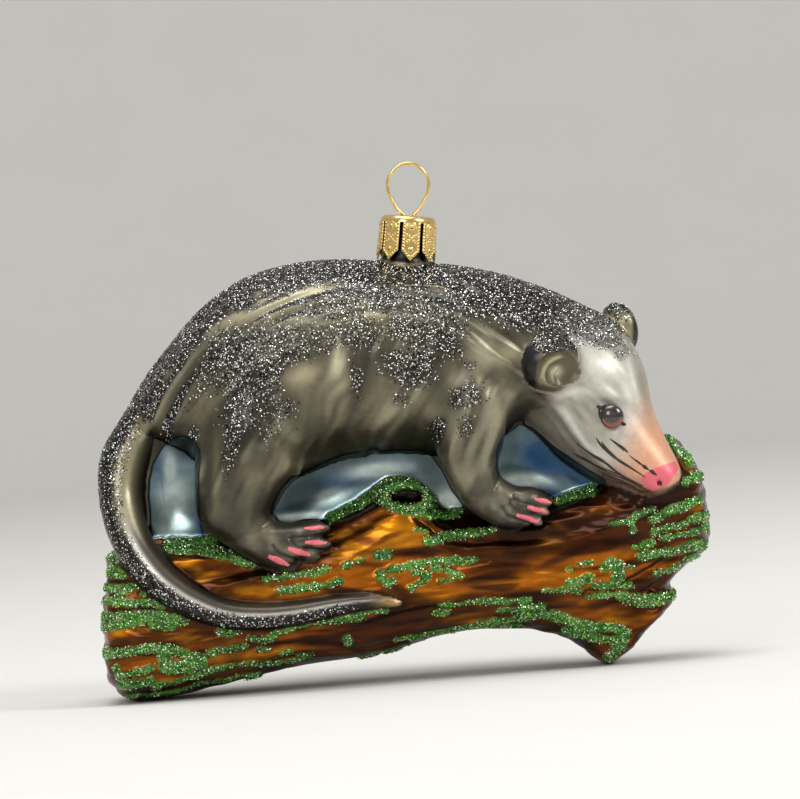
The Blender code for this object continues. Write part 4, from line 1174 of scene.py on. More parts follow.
def glitter_density(skin):
    """How densely silver glitter lies on each point of the fur, from 0 to 1."""
    points, places = skin.points, skin.places
    height = points[:, 2] - 0.5 * np.maximum(points[:, 0], 0)
    high = smooth(*BAND_FOOT, height) * smooth(-0.6, -0.3, outward(points)[:, 1])
    ragged = 0.35 * (cloud(points, 5.0, 73, 2) - 0.5)
    skin.band = smooth(0.5, 0.8, skin.rim + ragged) * skin.own("trunk") * high
    hanging = points[:, 2] < TAIL_SIDE_TOP
    before_tip = 1 - smooth(*TAIL_GLITTER_END, points[:, 0])
    tail = smooth(-0.25, 0.05, skin.across) * (1 - smooth(0.75, 1.0, skin.across) * hanging)
    tail *= skin.own("tail") * (0.75 + 0.25 * smooth(*TAIL_BEND, points[:, 2])) * before_tip
    crown = smooth(0.45, 0.75, skin.normals[:, 2]) * skin.own("head", "ear")
    crown = crown * smooth(*CROWN_FOOT, points[:, 2])
    wanted = patches(places, GLITTER) * (1 - patches(places, BARE) * (1 - skin.band))
    wanted = wanted * skin.own("trunk", "leg", "head", "ear")
    wanted = np.max([wanted, skin.band, tail, crown], axis=0)
    wanted = smooth(0.15, 0.85, wanted + 0.7 * (cloud(points, 2.8, 71, 2) - 0.5)) * (wanted > 0.03)
    wanted *= 1 - (skin.own("head") & (points[:, 2] < FACE_TOP))
    wanted *= smooth(0.2, 1.0, skin.apart("web", "log")) * (~skin.near_side | (skin.panel < -0.3))
    wanted[skin.cups] = 0.0
    return wanted


def fur_paint(skin):
    """Airbrushed fur: olive grey and dark along the back, with painted shade in the folds, underneath and
    where it meets the panels and the log, and painted highlight where it stands out.
    """
    points, places = skin.points, skin.places
    colour = mix(FUR, FUR_LIGHT, smooth(0.35, 0.75, cloud(points, 7.0, 41)))
    for *spot, tone, strength in AIRBRUSH_AND_SHADING:
        colour = mix(colour, tone, strength * bell(places, *spot))
    # Painted shade in the hollows of the strands and folds, and painted highlight on their crests
    colour = mix(colour, SMOKE, 0.65 * smooth(0.05, 0.5, -skin.hair))
    colour = mix(colour, PALE, 0.35 * smooth(0.05, 0.5, skin.hair))
    # Painted shade on the undersides of the body and legs
    colour = mix(colour, SMOKE, 0.7 * smooth(0.1, 0.85, -skin.normals[:, 2]) * skin.own("trunk", "leg"))
    # Painted shade where the fur meets the panels and the log
    colour = mix(colour, DEEP, 0.75 * np.exp(-(skin.apart("web", "log") / 2.2) ** 2))
    colour = mix(colour, CHARCOAL, 0.92 * skin.band)
    return mix(colour, CHARCOAL, 0.6 * skin.glitter)


def tail_paint(skin):
    """The tail: pale above, and dark below, with a smooth inner strip, a painted highlight along its ridge,
    and painted shade where it meets the panels and the log.
    """
    across = skin.across
    upper = mix(FUR, srgb(164, 157, 128), smooth(-1.0, -0.4, across))
    upper = mix(upper, CHARCOAL, smooth(-0.02, 0.5, across))
    lower = mix(srgb(80, 74, 64), srgb(44, 41, 37), smooth(-0.2, 0.1, across))
    lower = mix(lower, DEEP, 0.6 * smooth(0.6, 1.0, across))
    # A painted highlight along the ridge
    ridge = np.exp(-((across + 0.14) / 0.13) ** 2)
    lower = mix(lower, WHITE, 0.7 * ridge)
    colour = mix(lower, upper, smooth(*TAIL_HANGING, skin.points[:, 2]))
    colour = mix(colour, srgb(196, 160, 104), smooth(*TAIL_TIP_START, skin.points[:, 0]))
    # Painted shade where the tail meets the panels and the log
    return mix(colour, DEEP, 0.6 * np.exp(-(skin.apart("web", "log") / 1.2) ** 2))


def ear_paint(skin, face):
    """Charcoal at the back of each ear, glittered on top, with an olive cup that runs into the face. The cup
    has painted shade in its hollow, painted highlight on its folds and a painted glint.
    """
    u, v = skin.places.T
    behind = 1 - smooth(*EAR_BACK, u + 0.15 * (v - EAR_LEVEL))
    top = 1 - smooth(*EAR_TOP, v)
    near = mix(mix(face, OLIVE, 0.5 * np.ones(len(u))), CHARCOAL, np.maximum(behind, 0.85 * top))
    rim = np.maximum(1 - smooth(*FAR_EAR_TOP, v), smooth(*FAR_EAR_EDGE, u))
    far = mix(np.tile(srgb(150, 143, 112), (len(u), 1)), CHARCOAL, rim)
    # Painted shade deep in the cup, painted highlight on its folds, and a painted glint
    cup = mix(srgb(96, 88, 66), srgb(176, 168, 136), smooth(0.1, 0.8, skin.fold))
    cup = mix(cup, PALE, 0.8 * bell(skin.places, *EAR_GLINT))
    colour = np.where((skin.points[:, 0] < FAR_EAR_START)[:, None], near, far)
    return np.where(skin.cups[:, None], cup, colour)


def face_paint(skin):
    """A pearly face that turns to peach down the muzzle, with grey streaks behind the eye, painted shade in
    the hollows of the streaks, under the jaw and where it meets the log, and painted highlight on the crests
    of the streaks.
    """
    points, places = skin.points, skin.places
    u, v = places.T
    colour = mix(PEARL, WHITE, 0.35 * smooth(0.3, 0.7, cloud(points, 7.0, 41)))
    for *spot, tone, strength in FACE_TONES:
        colour = mix(colour, tone, strength * bell(places, *spot))
    # Painted shade in the hollows of the streaks and painted highlight on their crests
    colour = mix(colour, ASH, 0.7 * smooth(0.02, 0.3, -skin.streaks))
    colour = mix(colour, WHITE, 0.5 * smooth(0.02, 0.3, skin.streaks))
    colour = mix(colour, PEACH, 0.9 * smooth(*BLUSH, u + 0.5 * (v - BLUSH_LEVEL)))
    # Painted shade under the jaw
    colour = mix(colour, srgb(92, 78, 62), 0.75 * smooth(0.1, 0.8, -skin.normals[:, 2]))
    crown = smooth(0.4, 0.8, skin.normals[:, 2]) * smooth(*DARK_CROWN_FOOT, points[:, 2])
    colour = mix(colour, CHARCOAL, np.maximum(0.85 * crown, 0.75 * skin.glitter))
    mouth, _ = stroke_distance(places, MOUTH)
    colour = mix(colour, srgb(70, 36, 30), 0.8 * np.exp(-(mouth / 1.3) ** 2) * smooth(0.2, 0.5, skin.side))
    # Painted shade where the head meets the log
    colour = mix(colour, srgb(48, 24, 16), 0.85 * np.exp(-(skin.near["log"] / 1.0) ** 2))
    return mix(colour, srgb(52, 16, 26), np.minimum(2.5 * bell(places, *NOSTRIL_STAIN), 1))


def paw_paint(skin):
    """Grey paws, paler in blotches on the faces that look to either side, with painted shade between the toes,
    underneath and where they meet the panels and the log.
    """
    grain = cloud(skin.points, (2.4, 2.4, 2.4), 43, 2)
    # Paler in blotches where the paw faces to either side
    side_blotches = smooth(0.35, 0.8, grain) * smooth(0.3, 0.9, skin.side)
    colour = mix(srgb(72, 67, 57), srgb(134, 127, 109), side_blotches)
    # Painted shade between the toes and underneath
    colour = mix(colour, DEEP, 0.8 * skin.toes)
    colour = mix(colour, SMOKE, 0.75 * smooth(0.1, 0.8, -skin.normals[:, 2]))
    # Painted shade where the paws meet the panels and the log
    return mix(colour, DEEP, 0.75 * np.exp(-(skin.apart("web", "log") / 0.9) ** 2))


def bark_paint(skin):
    """Clear amber over silver, bright in curling streaks, partly as painted sheen, between dark brown ones,
    with painted shade in the grooves, in the knot's hollow and where the animal rests on it.
    """
    places = skin.places
    flow = cloud(grain_of(skin.points, 9.0, 51), (17, 9, 3.6), 53, 3)
    wisps = cloud(grain_of(skin.points, 12.0, 57), (8, 7, 2.0), 59, 2)
    colour = mix(srgb(74, 34, 2), srgb(172, 94, 4), smooth(0.38, 0.68, flow))
    # Bright amber, partly a painted sheen
    amber_and_sheen = patches(places, PALE_AMBER_AND_SHEEN) * smooth(0.22, 0.62, flow)
    colour = mix(colour, srgb(250, 162, 18), 0.9 * amber_and_sheen * smooth(0.34, 0.66, wisps))
    colour = mix(colour, srgb(32, 14, 2), 0.85 * smooth(0.48, 0.68, wisps) * (1 - 0.8 * amber_and_sheen))
    # Painted shade in the grooves
    colour = mix(colour, srgb(34, 12, 4), 0.8 * smooth(0.1, 0.6, -skin.groove))
    # Dark bark, partly painted shadow
    colour = mix(colour, srgb(30, 12, 6), 0.85 * patches(places, DARK_BARK_AND_SHADOW))
    # Darker where the bark turns up, down or towards the ends
    edge = smooth(0.4, 0.95, np.abs(skin.normals[:, 2]) + 0.6 * np.abs(skin.normals[:, 0]))
    colour = mix(colour, srgb(60, 26, 4), 0.7 * edge)
    # Painted shade where the animal rests on the log
    contact_shade = np.exp(-(skin.apart("trunk", "leg", "tail", "head", "paw") / 1.4) ** 2)
    colour = mix(colour, srgb(20, 9, 4), 0.85 * contact_shade)
    # Painted shade in the knot's hollow
    return mix(colour, srgb(12, 6, 3), skin.hole)


def panel_paint(skin):
    """Silvered glass, airbrushed with blue and grey, with painted shadow, pale patches that are partly painted
    reflection, and painted shade along the animal.
    """
    places = skin.places
    colour = mix(srgb(78, 98, 102), srgb(132, 150, 150), smooth(0.3, 0.75, cloud(skin.points, (9, 9, 5), 61)))
    colour = mix(colour, srgb(16, 62, 102), 0.92 * patches(places, BLUES))
    colour = mix(colour, srgb(34, 44, 44), 0.9 * patches(places, SHADES))
    colour = mix(colour, srgb(206, 220, 214), 0.85 * patches(places, PALES_AND_GLEAMS))
    # Painted shade where the panels meet the animal
    edge = np.exp(-(skin.apart("trunk", "leg", "tail", "head", "paw") / 1.6) ** 2)
    return mix(colour, srgb(48, 62, 62), 0.6 * edge)


def paint(skin):
    """The lacquer's colour at each point."""
    colour = fur_paint(skin)
    face = face_paint(skin)
    to_face = smooth(-3.5, 3.5, skin.apart("trunk", "ear") - skin.near["head"]
                     + 1.5 * smooth(*FACE_START, skin.places[:, 0]))
    colour = mix(colour, face, to_face * skin.own("head", "trunk"))
    to_paw = smooth(-1.5, 3.5, skin.apart("leg") - skin.near["paw"])
    colour = mix(colour, paw_paint(skin), to_paw * skin.own("paw", "leg"))
    to_tail = smooth(-3.0, 2.0, skin.near["trunk"] - skin.near["tail"])
    colour = np.where(skin.own("tail")[:, None], mix(colour, tail_paint(skin), to_tail), colour)
    colour = np.where((skin.own("ear") | skin.cups)[:, None], ear_paint(skin, face), colour)
    colour = np.where(skin.own("log")[:, None], bark_paint(skin), colour)
    bare = np.where(skin.near_side, smooth(-0.3, 0.1, skin.panel), skin.own("web"))
    bare = bare * (skin.own("web") | (skin.own("trunk", "leg", "head") & (skin.panel < 1.6)))
    colour = mix(colour, panel_paint(skin), bare)
    grain = cloud(skin.points, (2.4, 2.4, 2.4), 43, 2)
    moss = mix(srgb(40, 92, 22), srgb(88, 142, 48), smooth(0.3, 0.7, grain))
    colour = mix(colour, moss, smooth(0.25, 0.6, skin.moss))
    neck = skin.own("neck") & (skin.near["trunk"] > 0.6)
    return np.where(neck[:, None], srgb(30, 25, 22), colour)


def finishes(skin):
    """How metallic and how rough the lacquer is at each point."""
    zones = [skin.own(zone) for zone in LUSTRE]
    metals, roughs = zip(*LUSTRE.values())
    metallic = spread(np.select(zones, metals, FUR_LUSTRE[0]), skin.edges, 4)
    roughness = spread(np.select(zones, roughs, FUR_LUSTRE[1]), skin.edges, 4)
    metallic *= 1 - smooth(0.3, 0.7, skin.moss)
    return metallic, np.maximum(roughness, 0.6 * smooth(0.3, 0.7, skin.moss))


def outline(skin):
    """How far each point lies from the painted line where the panels meet the animal, in millimetres."""
    across = skin.apart("trunk", "leg", "tail", "head", "paw") - skin.near["web"]
    wander = 0.5 * (noise(skin.points, 5.0, 81) - 0.5)
    found = np.where(skin.near_side, skin.panel + 0.12, across - 0.3) + wander
    return np.where(skin.own("log", "neck", "ear", "paw", "tail"), REACH, found)


def mesh_piece(name, points, faces, material):
    """A piece of the ornament from points in millimetres. It rides on the one body."""
    mesh = bpy.data.meshes.new(name)
    corners = faces if isinstance(faces, list) else faces.tolist()
    mesh.from_pydata((np.asarray(points) * MM).tolist(), [], corners)
    mesh.materials.append(material)
    mesh.shade_smooth()
    piece = bpy.data.objects.new(name, mesh)
    bpy.context.scene.collection.objects.link(piece)
    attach(piece, "root")
    return piece


def keep_colours(piece, name, colours):
    """Stores a colour for each point of a piece."""
    layer = piece.data.attributes.new(name, "FLOAT_COLOR", "POINT")
    rows = np.hstack([colours, np.ones((len(colours), 1))])
    layer.data.foreach_set("color", rows.astype(np.float32).ravel())


def keep_numbers(piece, name, values):
    """Stores a number for each point of a piece."""
    layer = piece.data.attributes.new(name, "FLOAT", "POINT")
    layer.data.foreach_set("value", values.astype(np.float32))


class Finish:
    """A material with a Principled shader, and the few kinds of node that the finishes here share."""

    def __init__(self, name, **sockets):
        self.material = bpy.data.materials.new(name)
        self.material.use_nodes = True
        self.tree = self.material.node_tree
        self.shader = self.tree.nodes["Principled BSDF"]
        for socket, value in sockets.items():
            self.shader.inputs[socket.replace("_", " ")].default_value = value

    def node(self, kind, **settings):
        made = self.tree.nodes.new(kind)
        for setting, value in settings.items():
            setattr(made, setting, value)
        return made

    def link(self, output, socket):
        self.tree.links.new(output, socket)

    def attribute(self, name):
        return self.node("ShaderNodeAttribute", attribute_name=name)

    def noise(self, scale, detail):
        """Noise in the piece's own space. The scale is in blobs for each millimetre."""
        place = self.node("ShaderNodeTexCoord")
        pattern = self.node("ShaderNodeTexNoise")
        pattern.inputs["Scale"].default_value = scale / MM
        pattern.inputs["Detail"].default_value = detail
        self.link(place.outputs["Object"], pattern.inputs["Vector"])
        return pattern.outputs["Fac"]

    def between(self, source, low, high):
        """Moves noise, which keeps near 0.5, to run from low to high."""
        ranged = self.node("ShaderNodeMapRange")
        ranged.inputs["From Min"].default_value = 0.3
        ranged.inputs["From Max"].default_value = 0.7
        ranged.inputs["To Min"].default_value = low
        ranged.inputs["To Max"].default_value = high
        self.link(source, ranged.inputs["Value"])
        return ranged.outputs["Result"]

    def shaded(self, colour, shade):
        """A colour times a shade."""
        both = self.node("ShaderNodeMix", data_type="RGBA", blend_type="MULTIPLY")
        both.inputs[0].default_value = 1.0
        self.link(colour, both.inputs[6])
        self.link(shade, both.inputs[7])
        return both.outputs[2]

    def masked(self, attribute, low, high, below, above, distance=False):
        """Blends two colours where an attribute passes from low to high. distance leaves out its sign."""
        source = self.attribute(attribute).outputs["Fac"]
        if distance:
            size = self.node("ShaderNodeMath", operation="ABSOLUTE")
            self.link(source, size.inputs[0])
            source = size.outputs[0]
        step = self.node("ShaderNodeMapRange", interpolation_type="SMOOTHSTEP")
        step.inputs["From Min"].default_value = low
        step.inputs["From Max"].default_value = high
        self.link(source, step.inputs["Value"])
        both = self.node("ShaderNodeMix", data_type="RGBA")
        self.link(step.outputs["Result"], both.inputs[0])
        for socket, colour in ((6, below), (7, above)):
            if isinstance(colour, bpy.types.NodeSocket):
                self.link(colour, both.inputs[socket])
            else:
                both.inputs[socket].default_value = (*colour, 1.0)
        return both.outputs[2]

    def bump(self, height, strength, depth):
        """A fine relief, as deep as the given millimetres."""
        relief = self.node("ShaderNodeBump")
        relief.inputs["Strength"].default_value = strength
        relief.inputs["Distance"].default_value = depth * MM
        self.link(height, relief.inputs["Height"])
        self.link(relief.outputs["Normal"], self.shader.inputs["Normal"])


def lacquer():
    """Lacquer over silvered glass. Its colour, metal and roughness are painted on the skin's points."""
    finish = Finish("lacquer", Coat_Weight=0.14, Coat_Roughness=0.1)
    speckle = finish.between(finish.noise(0.9, 4.0), 0.9, 1.06)
    colour = finish.shaded(finish.attribute("paint").outputs["Color"], speckle)
    colour = finish.masked("nose", -0.14, 0.14, colour, srgb(228, 108, 120))
    colour = finish.masked("outline", 0.10, 0.24, srgb(12, 12, 14), colour, distance=True)
    finish.link(colour, finish.shader.inputs["Base Color"])
    finish.link(finish.attribute("metal").outputs["Fac"], finish.shader.inputs["Metallic"])
    finish.link(finish.attribute("rough").outputs["Fac"], finish.shader.inputs["Roughness"])
    finish.bump(finish.noise(0.7, 5.0), 0.2, 0.06)
    return finish.material


def flake_finish(name, roughness):
    """Mirror-bright glitter, whose colour differs from flake to flake."""
    finish = Finish(name, Metallic=1.0, Roughness=roughness)
    speckle = finish.between(finish.noise(2.5, 1.0), 0.85, 1.1)
    tone = finish.attribute("flake").outputs["Color"]
    finish.link(finish.shaded(tone, speckle), finish.shader.inputs["Base Color"])
    return finish.material


def brush_finish(name, colour, roughness):
    """Glossy paint laid on with a brush."""
    finish = Finish(name, Roughness=roughness, Coat_Weight=0.3, Coat_Roughness=0.12)
    tone = finish.node("ShaderNodeRGB")
    tone.outputs[0].default_value = (*colour, 1.0)
    shade = finish.between(finish.noise(1.2, 3.0), 0.8, 1.12)
    finish.link(finish.shaded(tone.outputs[0], shade), finish.shader.inputs["Base Color"])
    finish.bump(finish.noise(2.0, 2.0), 0.2, 0.04)
    return finish.material


def gilt():
    """Thin brass sheet and wire with a bright gilt wash, a little worn and stained."""
    finish = Finish("gilt", Metallic=1.0)
    tone = finish.node("ShaderNodeRGB")
    tone.outputs[0].default_value = (*srgb(240, 206, 132), 1.0)
    shade = finish.between(finish.noise(0.5, 3.0), 0.84, 1.04)
    finish.link(finish.shaded(tone.outputs[0], shade), finish.shader.inputs["Base Color"])
    finish.link(finish.between(finish.noise(0.8, 3.0), 0.14, 0.26), finish.shader.inputs["Roughness"])
    finish.bump(finish.noise(1.4, 2.0), 0.12, 0.02)
    return finish.material


def eye_finish():
    """A domed eye under thick gloss. Its colours are painted on its points."""
    finish = Finish("eye_gloss", Roughness=0.2, Coat_Weight=1.0, Coat_Roughness=0.03, Specular_IOR_Level=0.6)
    speckle = finish.between(finish.noise(1.5, 3.0), 0.8, 1.2)
    tone = finish.attribute("paint").outputs["Color"]
    finish.link(finish.shaded(tone, speckle), finish.shader.inputs["Base Color"])
    return finish.material


def scattered(skin, density, seed):
    """Random places on the skin, with their normals. The density is for each square millimetre."""
    draw = np.random.default_rng(seed)
    corners = skin.points[skin.faces]
    diagonals = np.cross(corners[:, 2] - corners[:, 0], corners[:, 3] - corners[:, 1])
    area = 0.5 * np.linalg.norm(diagonals, axis=1)
    counts = draw.poisson(area * density[skin.faces].mean(axis=1))
    face = np.repeat(np.arange(len(counts)), counts)
    across, along = draw.random((2, len(face), 1))
    weights = [(1 - across) * (1 - along), across * (1 - along), across * along, (1 - across) * along]
    place = sum(weight * corners[face, corner] for corner, weight in enumerate(weights))
    normal = sum(weight * skin.normals[skin.faces[face, corner]] for corner, weight in enumerate(weights))
    return place, unit(normal)


def flakes(name, places, normals, material, palette, shares, radii, tilt, lift, seed):
    """Glitter: thin closed four-sided flakes, strewn on the skin and tilted at random."""
    draw = np.random.default_rng(seed)
    count = len(places)
    facing = unit(normals + tilt * draw.normal(size=(count, 3)))
    aside = unit(np.cross(facing, unit(draw.normal(size=(count, 3)))))
    ahead = np.cross(facing, aside)
    radius = draw.uniform(*radii, size=(count, 1))
    middle = places + normals * draw.uniform(*lift, size=(count, 1))
    spans = ((aside, 1.0), (ahead, 0.8), (aside, -0.8), (ahead, -1.0), (facing, 0.2), (facing, -0.2))
    points = np.stack([middle + share * radius * axis for axis, share in spans], axis=1)
    low, high = np.array(CAD_LOW) / MM, np.array(CAD_HIGH) / MM
    inside = np.all((points > low + 0.01) & (points < high - 0.01), axis=(1, 2))
    points = points[inside]
    tone = np.asarray(palette)[draw.choice(len(palette), size=count, p=shares)]
    tone = (tone * draw.uniform(0.75, 1.2, size=(count, 1)))[inside]
    one = np.array([(s, (s + 1) % 4, 4) for s in range(4)] + [((s + 1) % 4, s, 5) for s in range(4)])
    faces = (one[None] + len(spans) * np.arange(len(points))[:, None, None]).reshape(-1, 3)
    piece = mesh_piece(name, points.reshape(-1, 3), faces, material)
    piece.data.shade_flat()
    keep_colours(piece, "flake", tone.repeat(len(spans), axis=0))
    lay_out(piece, len(points), len(one))
    return piece


def lay_out(piece, count, faces_each):
    """A map for baking: each flake has a square of its own, and its faces share one triangle in it."""
    across = math.ceil(math.sqrt(count))
    index = np.arange(count).repeat(faces_each * 3)
    corner = np.tile(np.array([(0.15, 0.15), (0.85, 0.15), (0.15, 0.85)]), (count * faces_each, 1))
    uv = (np.stack([index % across, index // across], axis=1) + corner) / across
    layer = piece.data.uv_layers.new(name="OFBake")
    layer.uv.foreach_set("vector", uv.astype(np.float32).ravel())


class Surface:
    """Part of the skin, for laying strokes on."""

    def __init__(self, skin, *zones):
        wanted = skin.own(*zones)[skin.faces].all(axis=1)
        self.tree = BVHTree.FromPolygons(skin.points.tolist(), skin.faces[wanted].tolist())

    def under_pixel(self, u, v, side):
        """The place on the near or far side that shows, or would show mirrored, at a pixel."""
        start, ahead = CAMERA_PLACE.copy(), pixel_direction(u, v)
        if side > 0:
            start[1] *= -1
            ahead[1] *= -1
        place, normal, _, _ = self.tree.ray_cast(Vector(start), Vector(ahead))
        if place is None:
            level = start + ahead * ((side * HALF_PANEL - start[1]) / ahead[1])
            return self.nearest(level)
        return np.array(place), np.array(normal)

    def beside(self, x, z, side):
        """The place on the near or far side over a point of the XZ plane."""
        place, normal, _, _ = self.tree.ray_cast(Vector((x, side * 2 * HALF_BODY, z)), Vector((0, -side, 0)))
        if place is None:
            return self.nearest((x, side * TOE_MIDDLE, z))
        return np.array(place), np.array(normal)

    def nearest(self, place):
        found, normal, _, _ = self.tree.find_nearest(Vector(place))
        return np.array(found), np.array(normal)


def stroke(surface, find, route, widths, height, step):
    """A raised brush stroke. find gives the place and normal at a point of the route. Widths are in mm."""
    fine = resampled([(*spot, width) for spot, width in zip(route, widths)], 5)
    length = np.concatenate([[0], np.cumsum(np.linalg.norm(np.diff(fine[:, :2], axis=0), axis=1))])
    wanted = np.linspace(0, length[-1], max(int(length[-1] / step), 4) + 1)
    path = np.stack([np.interp(wanted, length, fine[:, axis]) for axis in range(3)], axis=1)
    found = [find(first, second) for first, second, _ in path]
    places = np.array([place for place, _ in found])
    normals = unit(np.array([normal for _, normal in found]))
    along = unit(np.gradient(places, axis=0))
    across = unit(np.cross(along, normals))
    rings = []
    for place, normal, aside, width in zip(places, normals, across, path[:, 2]):
        ring = []
        for share, rise in ((-1, 0.25), (-0.6, 0.85), (0, 1.0), (0.6, 0.85), (1, 0.25)):
            spot, upward = surface.nearest(place + aside * share * width / 2)
            ring.append(spot + upward * rise * height)
        ring.append(place - normal * 0.12)
        rings.append(ring)
    ends = [places[0] - normals[0] * 0.03, places[-1] - normals[-1] * 0.03]
    return np.vstack([np.array(rings).reshape(-1, 3), ends]), tube_faces(len(rings), 6)


def tapered(count, width, start=0.35, end=0.25):
    """Widths along a stroke that swells from its start and narrows to its end."""
    shares = np.linspace(0, 1, count)
    return width * np.minimum(1.0, np.minimum(start + 4 * shares, end + 2.2 * (1 - shares)))


# Strokes on the face: width in millimetres, then the route in pixels
WHISKERS = [
    (0.44, (577, 443), (587, 451), (593, 455), (602, 460), (614, 470), (625, 477), (637, 483), (643, 486)),
    (0.34, (573, 453), (586, 459), (598, 466), (615, 473), (629, 479)),
    (0.30, (598, 470), (614, 477), (625, 482), (636, 487)),
    (0.46, (596, 438), (601, 445), (607, 451), (614, 457), (627, 465), (638, 472)),
    (0.42, (610, 439), (617, 444), (624, 451)),
    (0.26, (629, 455), (635, 460), (641, 465)),
    (0.66, (642, 465), (645, 467), (649, 470)),
    (0.40, (638, 492), (643, 492), (648, 491)),
]
EYE_LINES = [
    (0.9, (597, 406), (602, 408), (606, 405)),
    (0.8, (621, 420), (623, 424), (626, 424)),
    (0.5, (599, 409), (600, 416), (603, 422)),
]
# Claws: width, and the shares of the toe from which and to which each runs
HIND_CLAWS = [(1.1, 0.10, 0.78), (1.2, 0.12, 0.82), (1.5, 0.10, 0.80), (1.7, 0.15, 0.80)]
FORE_CLAWS = [(1.1, 0.35, 0.95), (1.2, 0.22, 0.88), (1.4, 0.15, 0.85)]


def head_lines(skin, material):
    surface = Surface(skin, "head")
    forms = []
    for side in (-1, 1):
        def find(u, v):
            return surface.under_pixel(u, v, side)
        for width, *route in WHISKERS:
            forms.append(stroke(surface, find, route, tapered(len(route), 1.15 * width), 0.16, 1.2))
        for width, *route in EYE_LINES:
            if side < 0:
                forms.append(stroke(surface, find, route, tapered(len(route), width, 0.7, 0.6), 0.12, 1.2))
    piece = mesh_piece("whisker_strokes", *joined(forms), material)


def claws(skin, material):
    surface = Surface(skin, "paw")
    forms = []
    feet = ((HIND_TOES, HIND_CLAWS, FAR_HIND_STRIDE), (FORE_TOES, FORE_CLAWS, FAR_FORE_STRIDE))
    for toes, table, far_stride in feet:
        for side, stride in ((-1, 0.0), (1, far_stride)):
            def find(x, z):
                return surface.beside(x, z, side)
            for (root, tip), (width, start, end) in zip(toes, table):
                run = np.array(tip) - root
                shares = (start, (start + end) / 2, end)
                route = [root + run * share + (stride, CLAW_LIFT) for share in shares]
                forms.append(stroke(surface, find, route, tapered(3, width, 0.5, 0.4), 0.14, 0.3))
    piece = mesh_piece("claw_strokes", *joined(forms), material)


def eye(name, material):
    """A domed eye: nearly black, with a crescent of amber low down, a dark rim and a painted reflection above
    its middle.
    """
    low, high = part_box(name)
    middle = np.array((low + high) / 2) / MM
    _, normal, _, _ = tree_of(loft(HEAD, sides=72)).find_nearest(Vector(middle))
    radii = np.array((EYE_RADIUS, 0.98 * EYE_RADIUS, 0.55 * EYE_RADIUS))
    points, faces = ellipsoid(middle - np.array(normal) * 0.1, radii * 0.985, normal, 40, 64)
    up, aside, _ = (((points - middle) @ turned(normal)) / EYE_RADIUS).T
    ragged = 0.12 * (noise(points, 0.9, 91) - 0.5)
    pupil = np.hypot(up - 0.24, aside) + ragged
    ring = np.hypot(up, aside) + ragged
    iris = smooth(0.72, 0.88, pupil) * smooth(0.05, 0.3, -up) * (1 - smooth(0.86, 0.97, ring))
    colour = mix(np.tile(srgb(18, 7, 5), (len(points), 1)), srgb(132, 48, 6), iris)
    # A painted reflection above the middle of the eye
    colour = mix(colour, srgb(74, 52, 46), 0.6 * np.exp(-((up - 0.22) / 0.22) ** 2 - (aside / 0.4) ** 2))
    piece = mesh_piece(name + "_dome", points, faces, material)
    keep_colours(piece, "paint", colour)
    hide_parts(name)


def petal_dots():
    """The dots stamped into a petal: millimetres to the side, millimetres down, height and radius."""
    dots = [(0.0, 2.3, 0.34, 0.36), (0.0, 6.9, 0.32, 0.34), (0.0, 4.6, 0.2, 0.2)]
    for side in (-1, 1):
        dots += [(side * 1.62, 1.7 + 0.66 * row, 0.26, 0.21) for row in range(9)]
        dots += [(side * (1.3 - 0.46 * row), 7.45 + 0.44 * row, 0.26, 0.21) for row in range(3)]
        dots += [(side * 0.5, 4.2, 0.2, 0.18), (side * 0.95, 3.9, 0.18, 0.18), (side * 0.5, 5.1, 0.2, 0.18)]
        dots += [(side * 0.95, 5.4, 0.18, 0.18)]
    return dots


def petal_relief(aside, down):
    """How far a petal's stamped dots and its arch rise at places across it and down it."""
    rise = np.zeros(np.broadcast(aside, down).shape)
    for dot_aside, dot_down, height, reach in petal_dots():
        away = ((aside - dot_aside) ** 2 + (down - dot_down) ** 2) / reach ** 2
        rise = np.maximum(rise, height * np.exp(-away ** 1.5))
    arch = np.hypot(aside / 1.25, (down - 2.9) / 1.35)
    rise += 0.16 * np.exp(-((arch - 1) / 0.12) ** 2) * (down < 2.6) * (down > 1.2)
    return rise


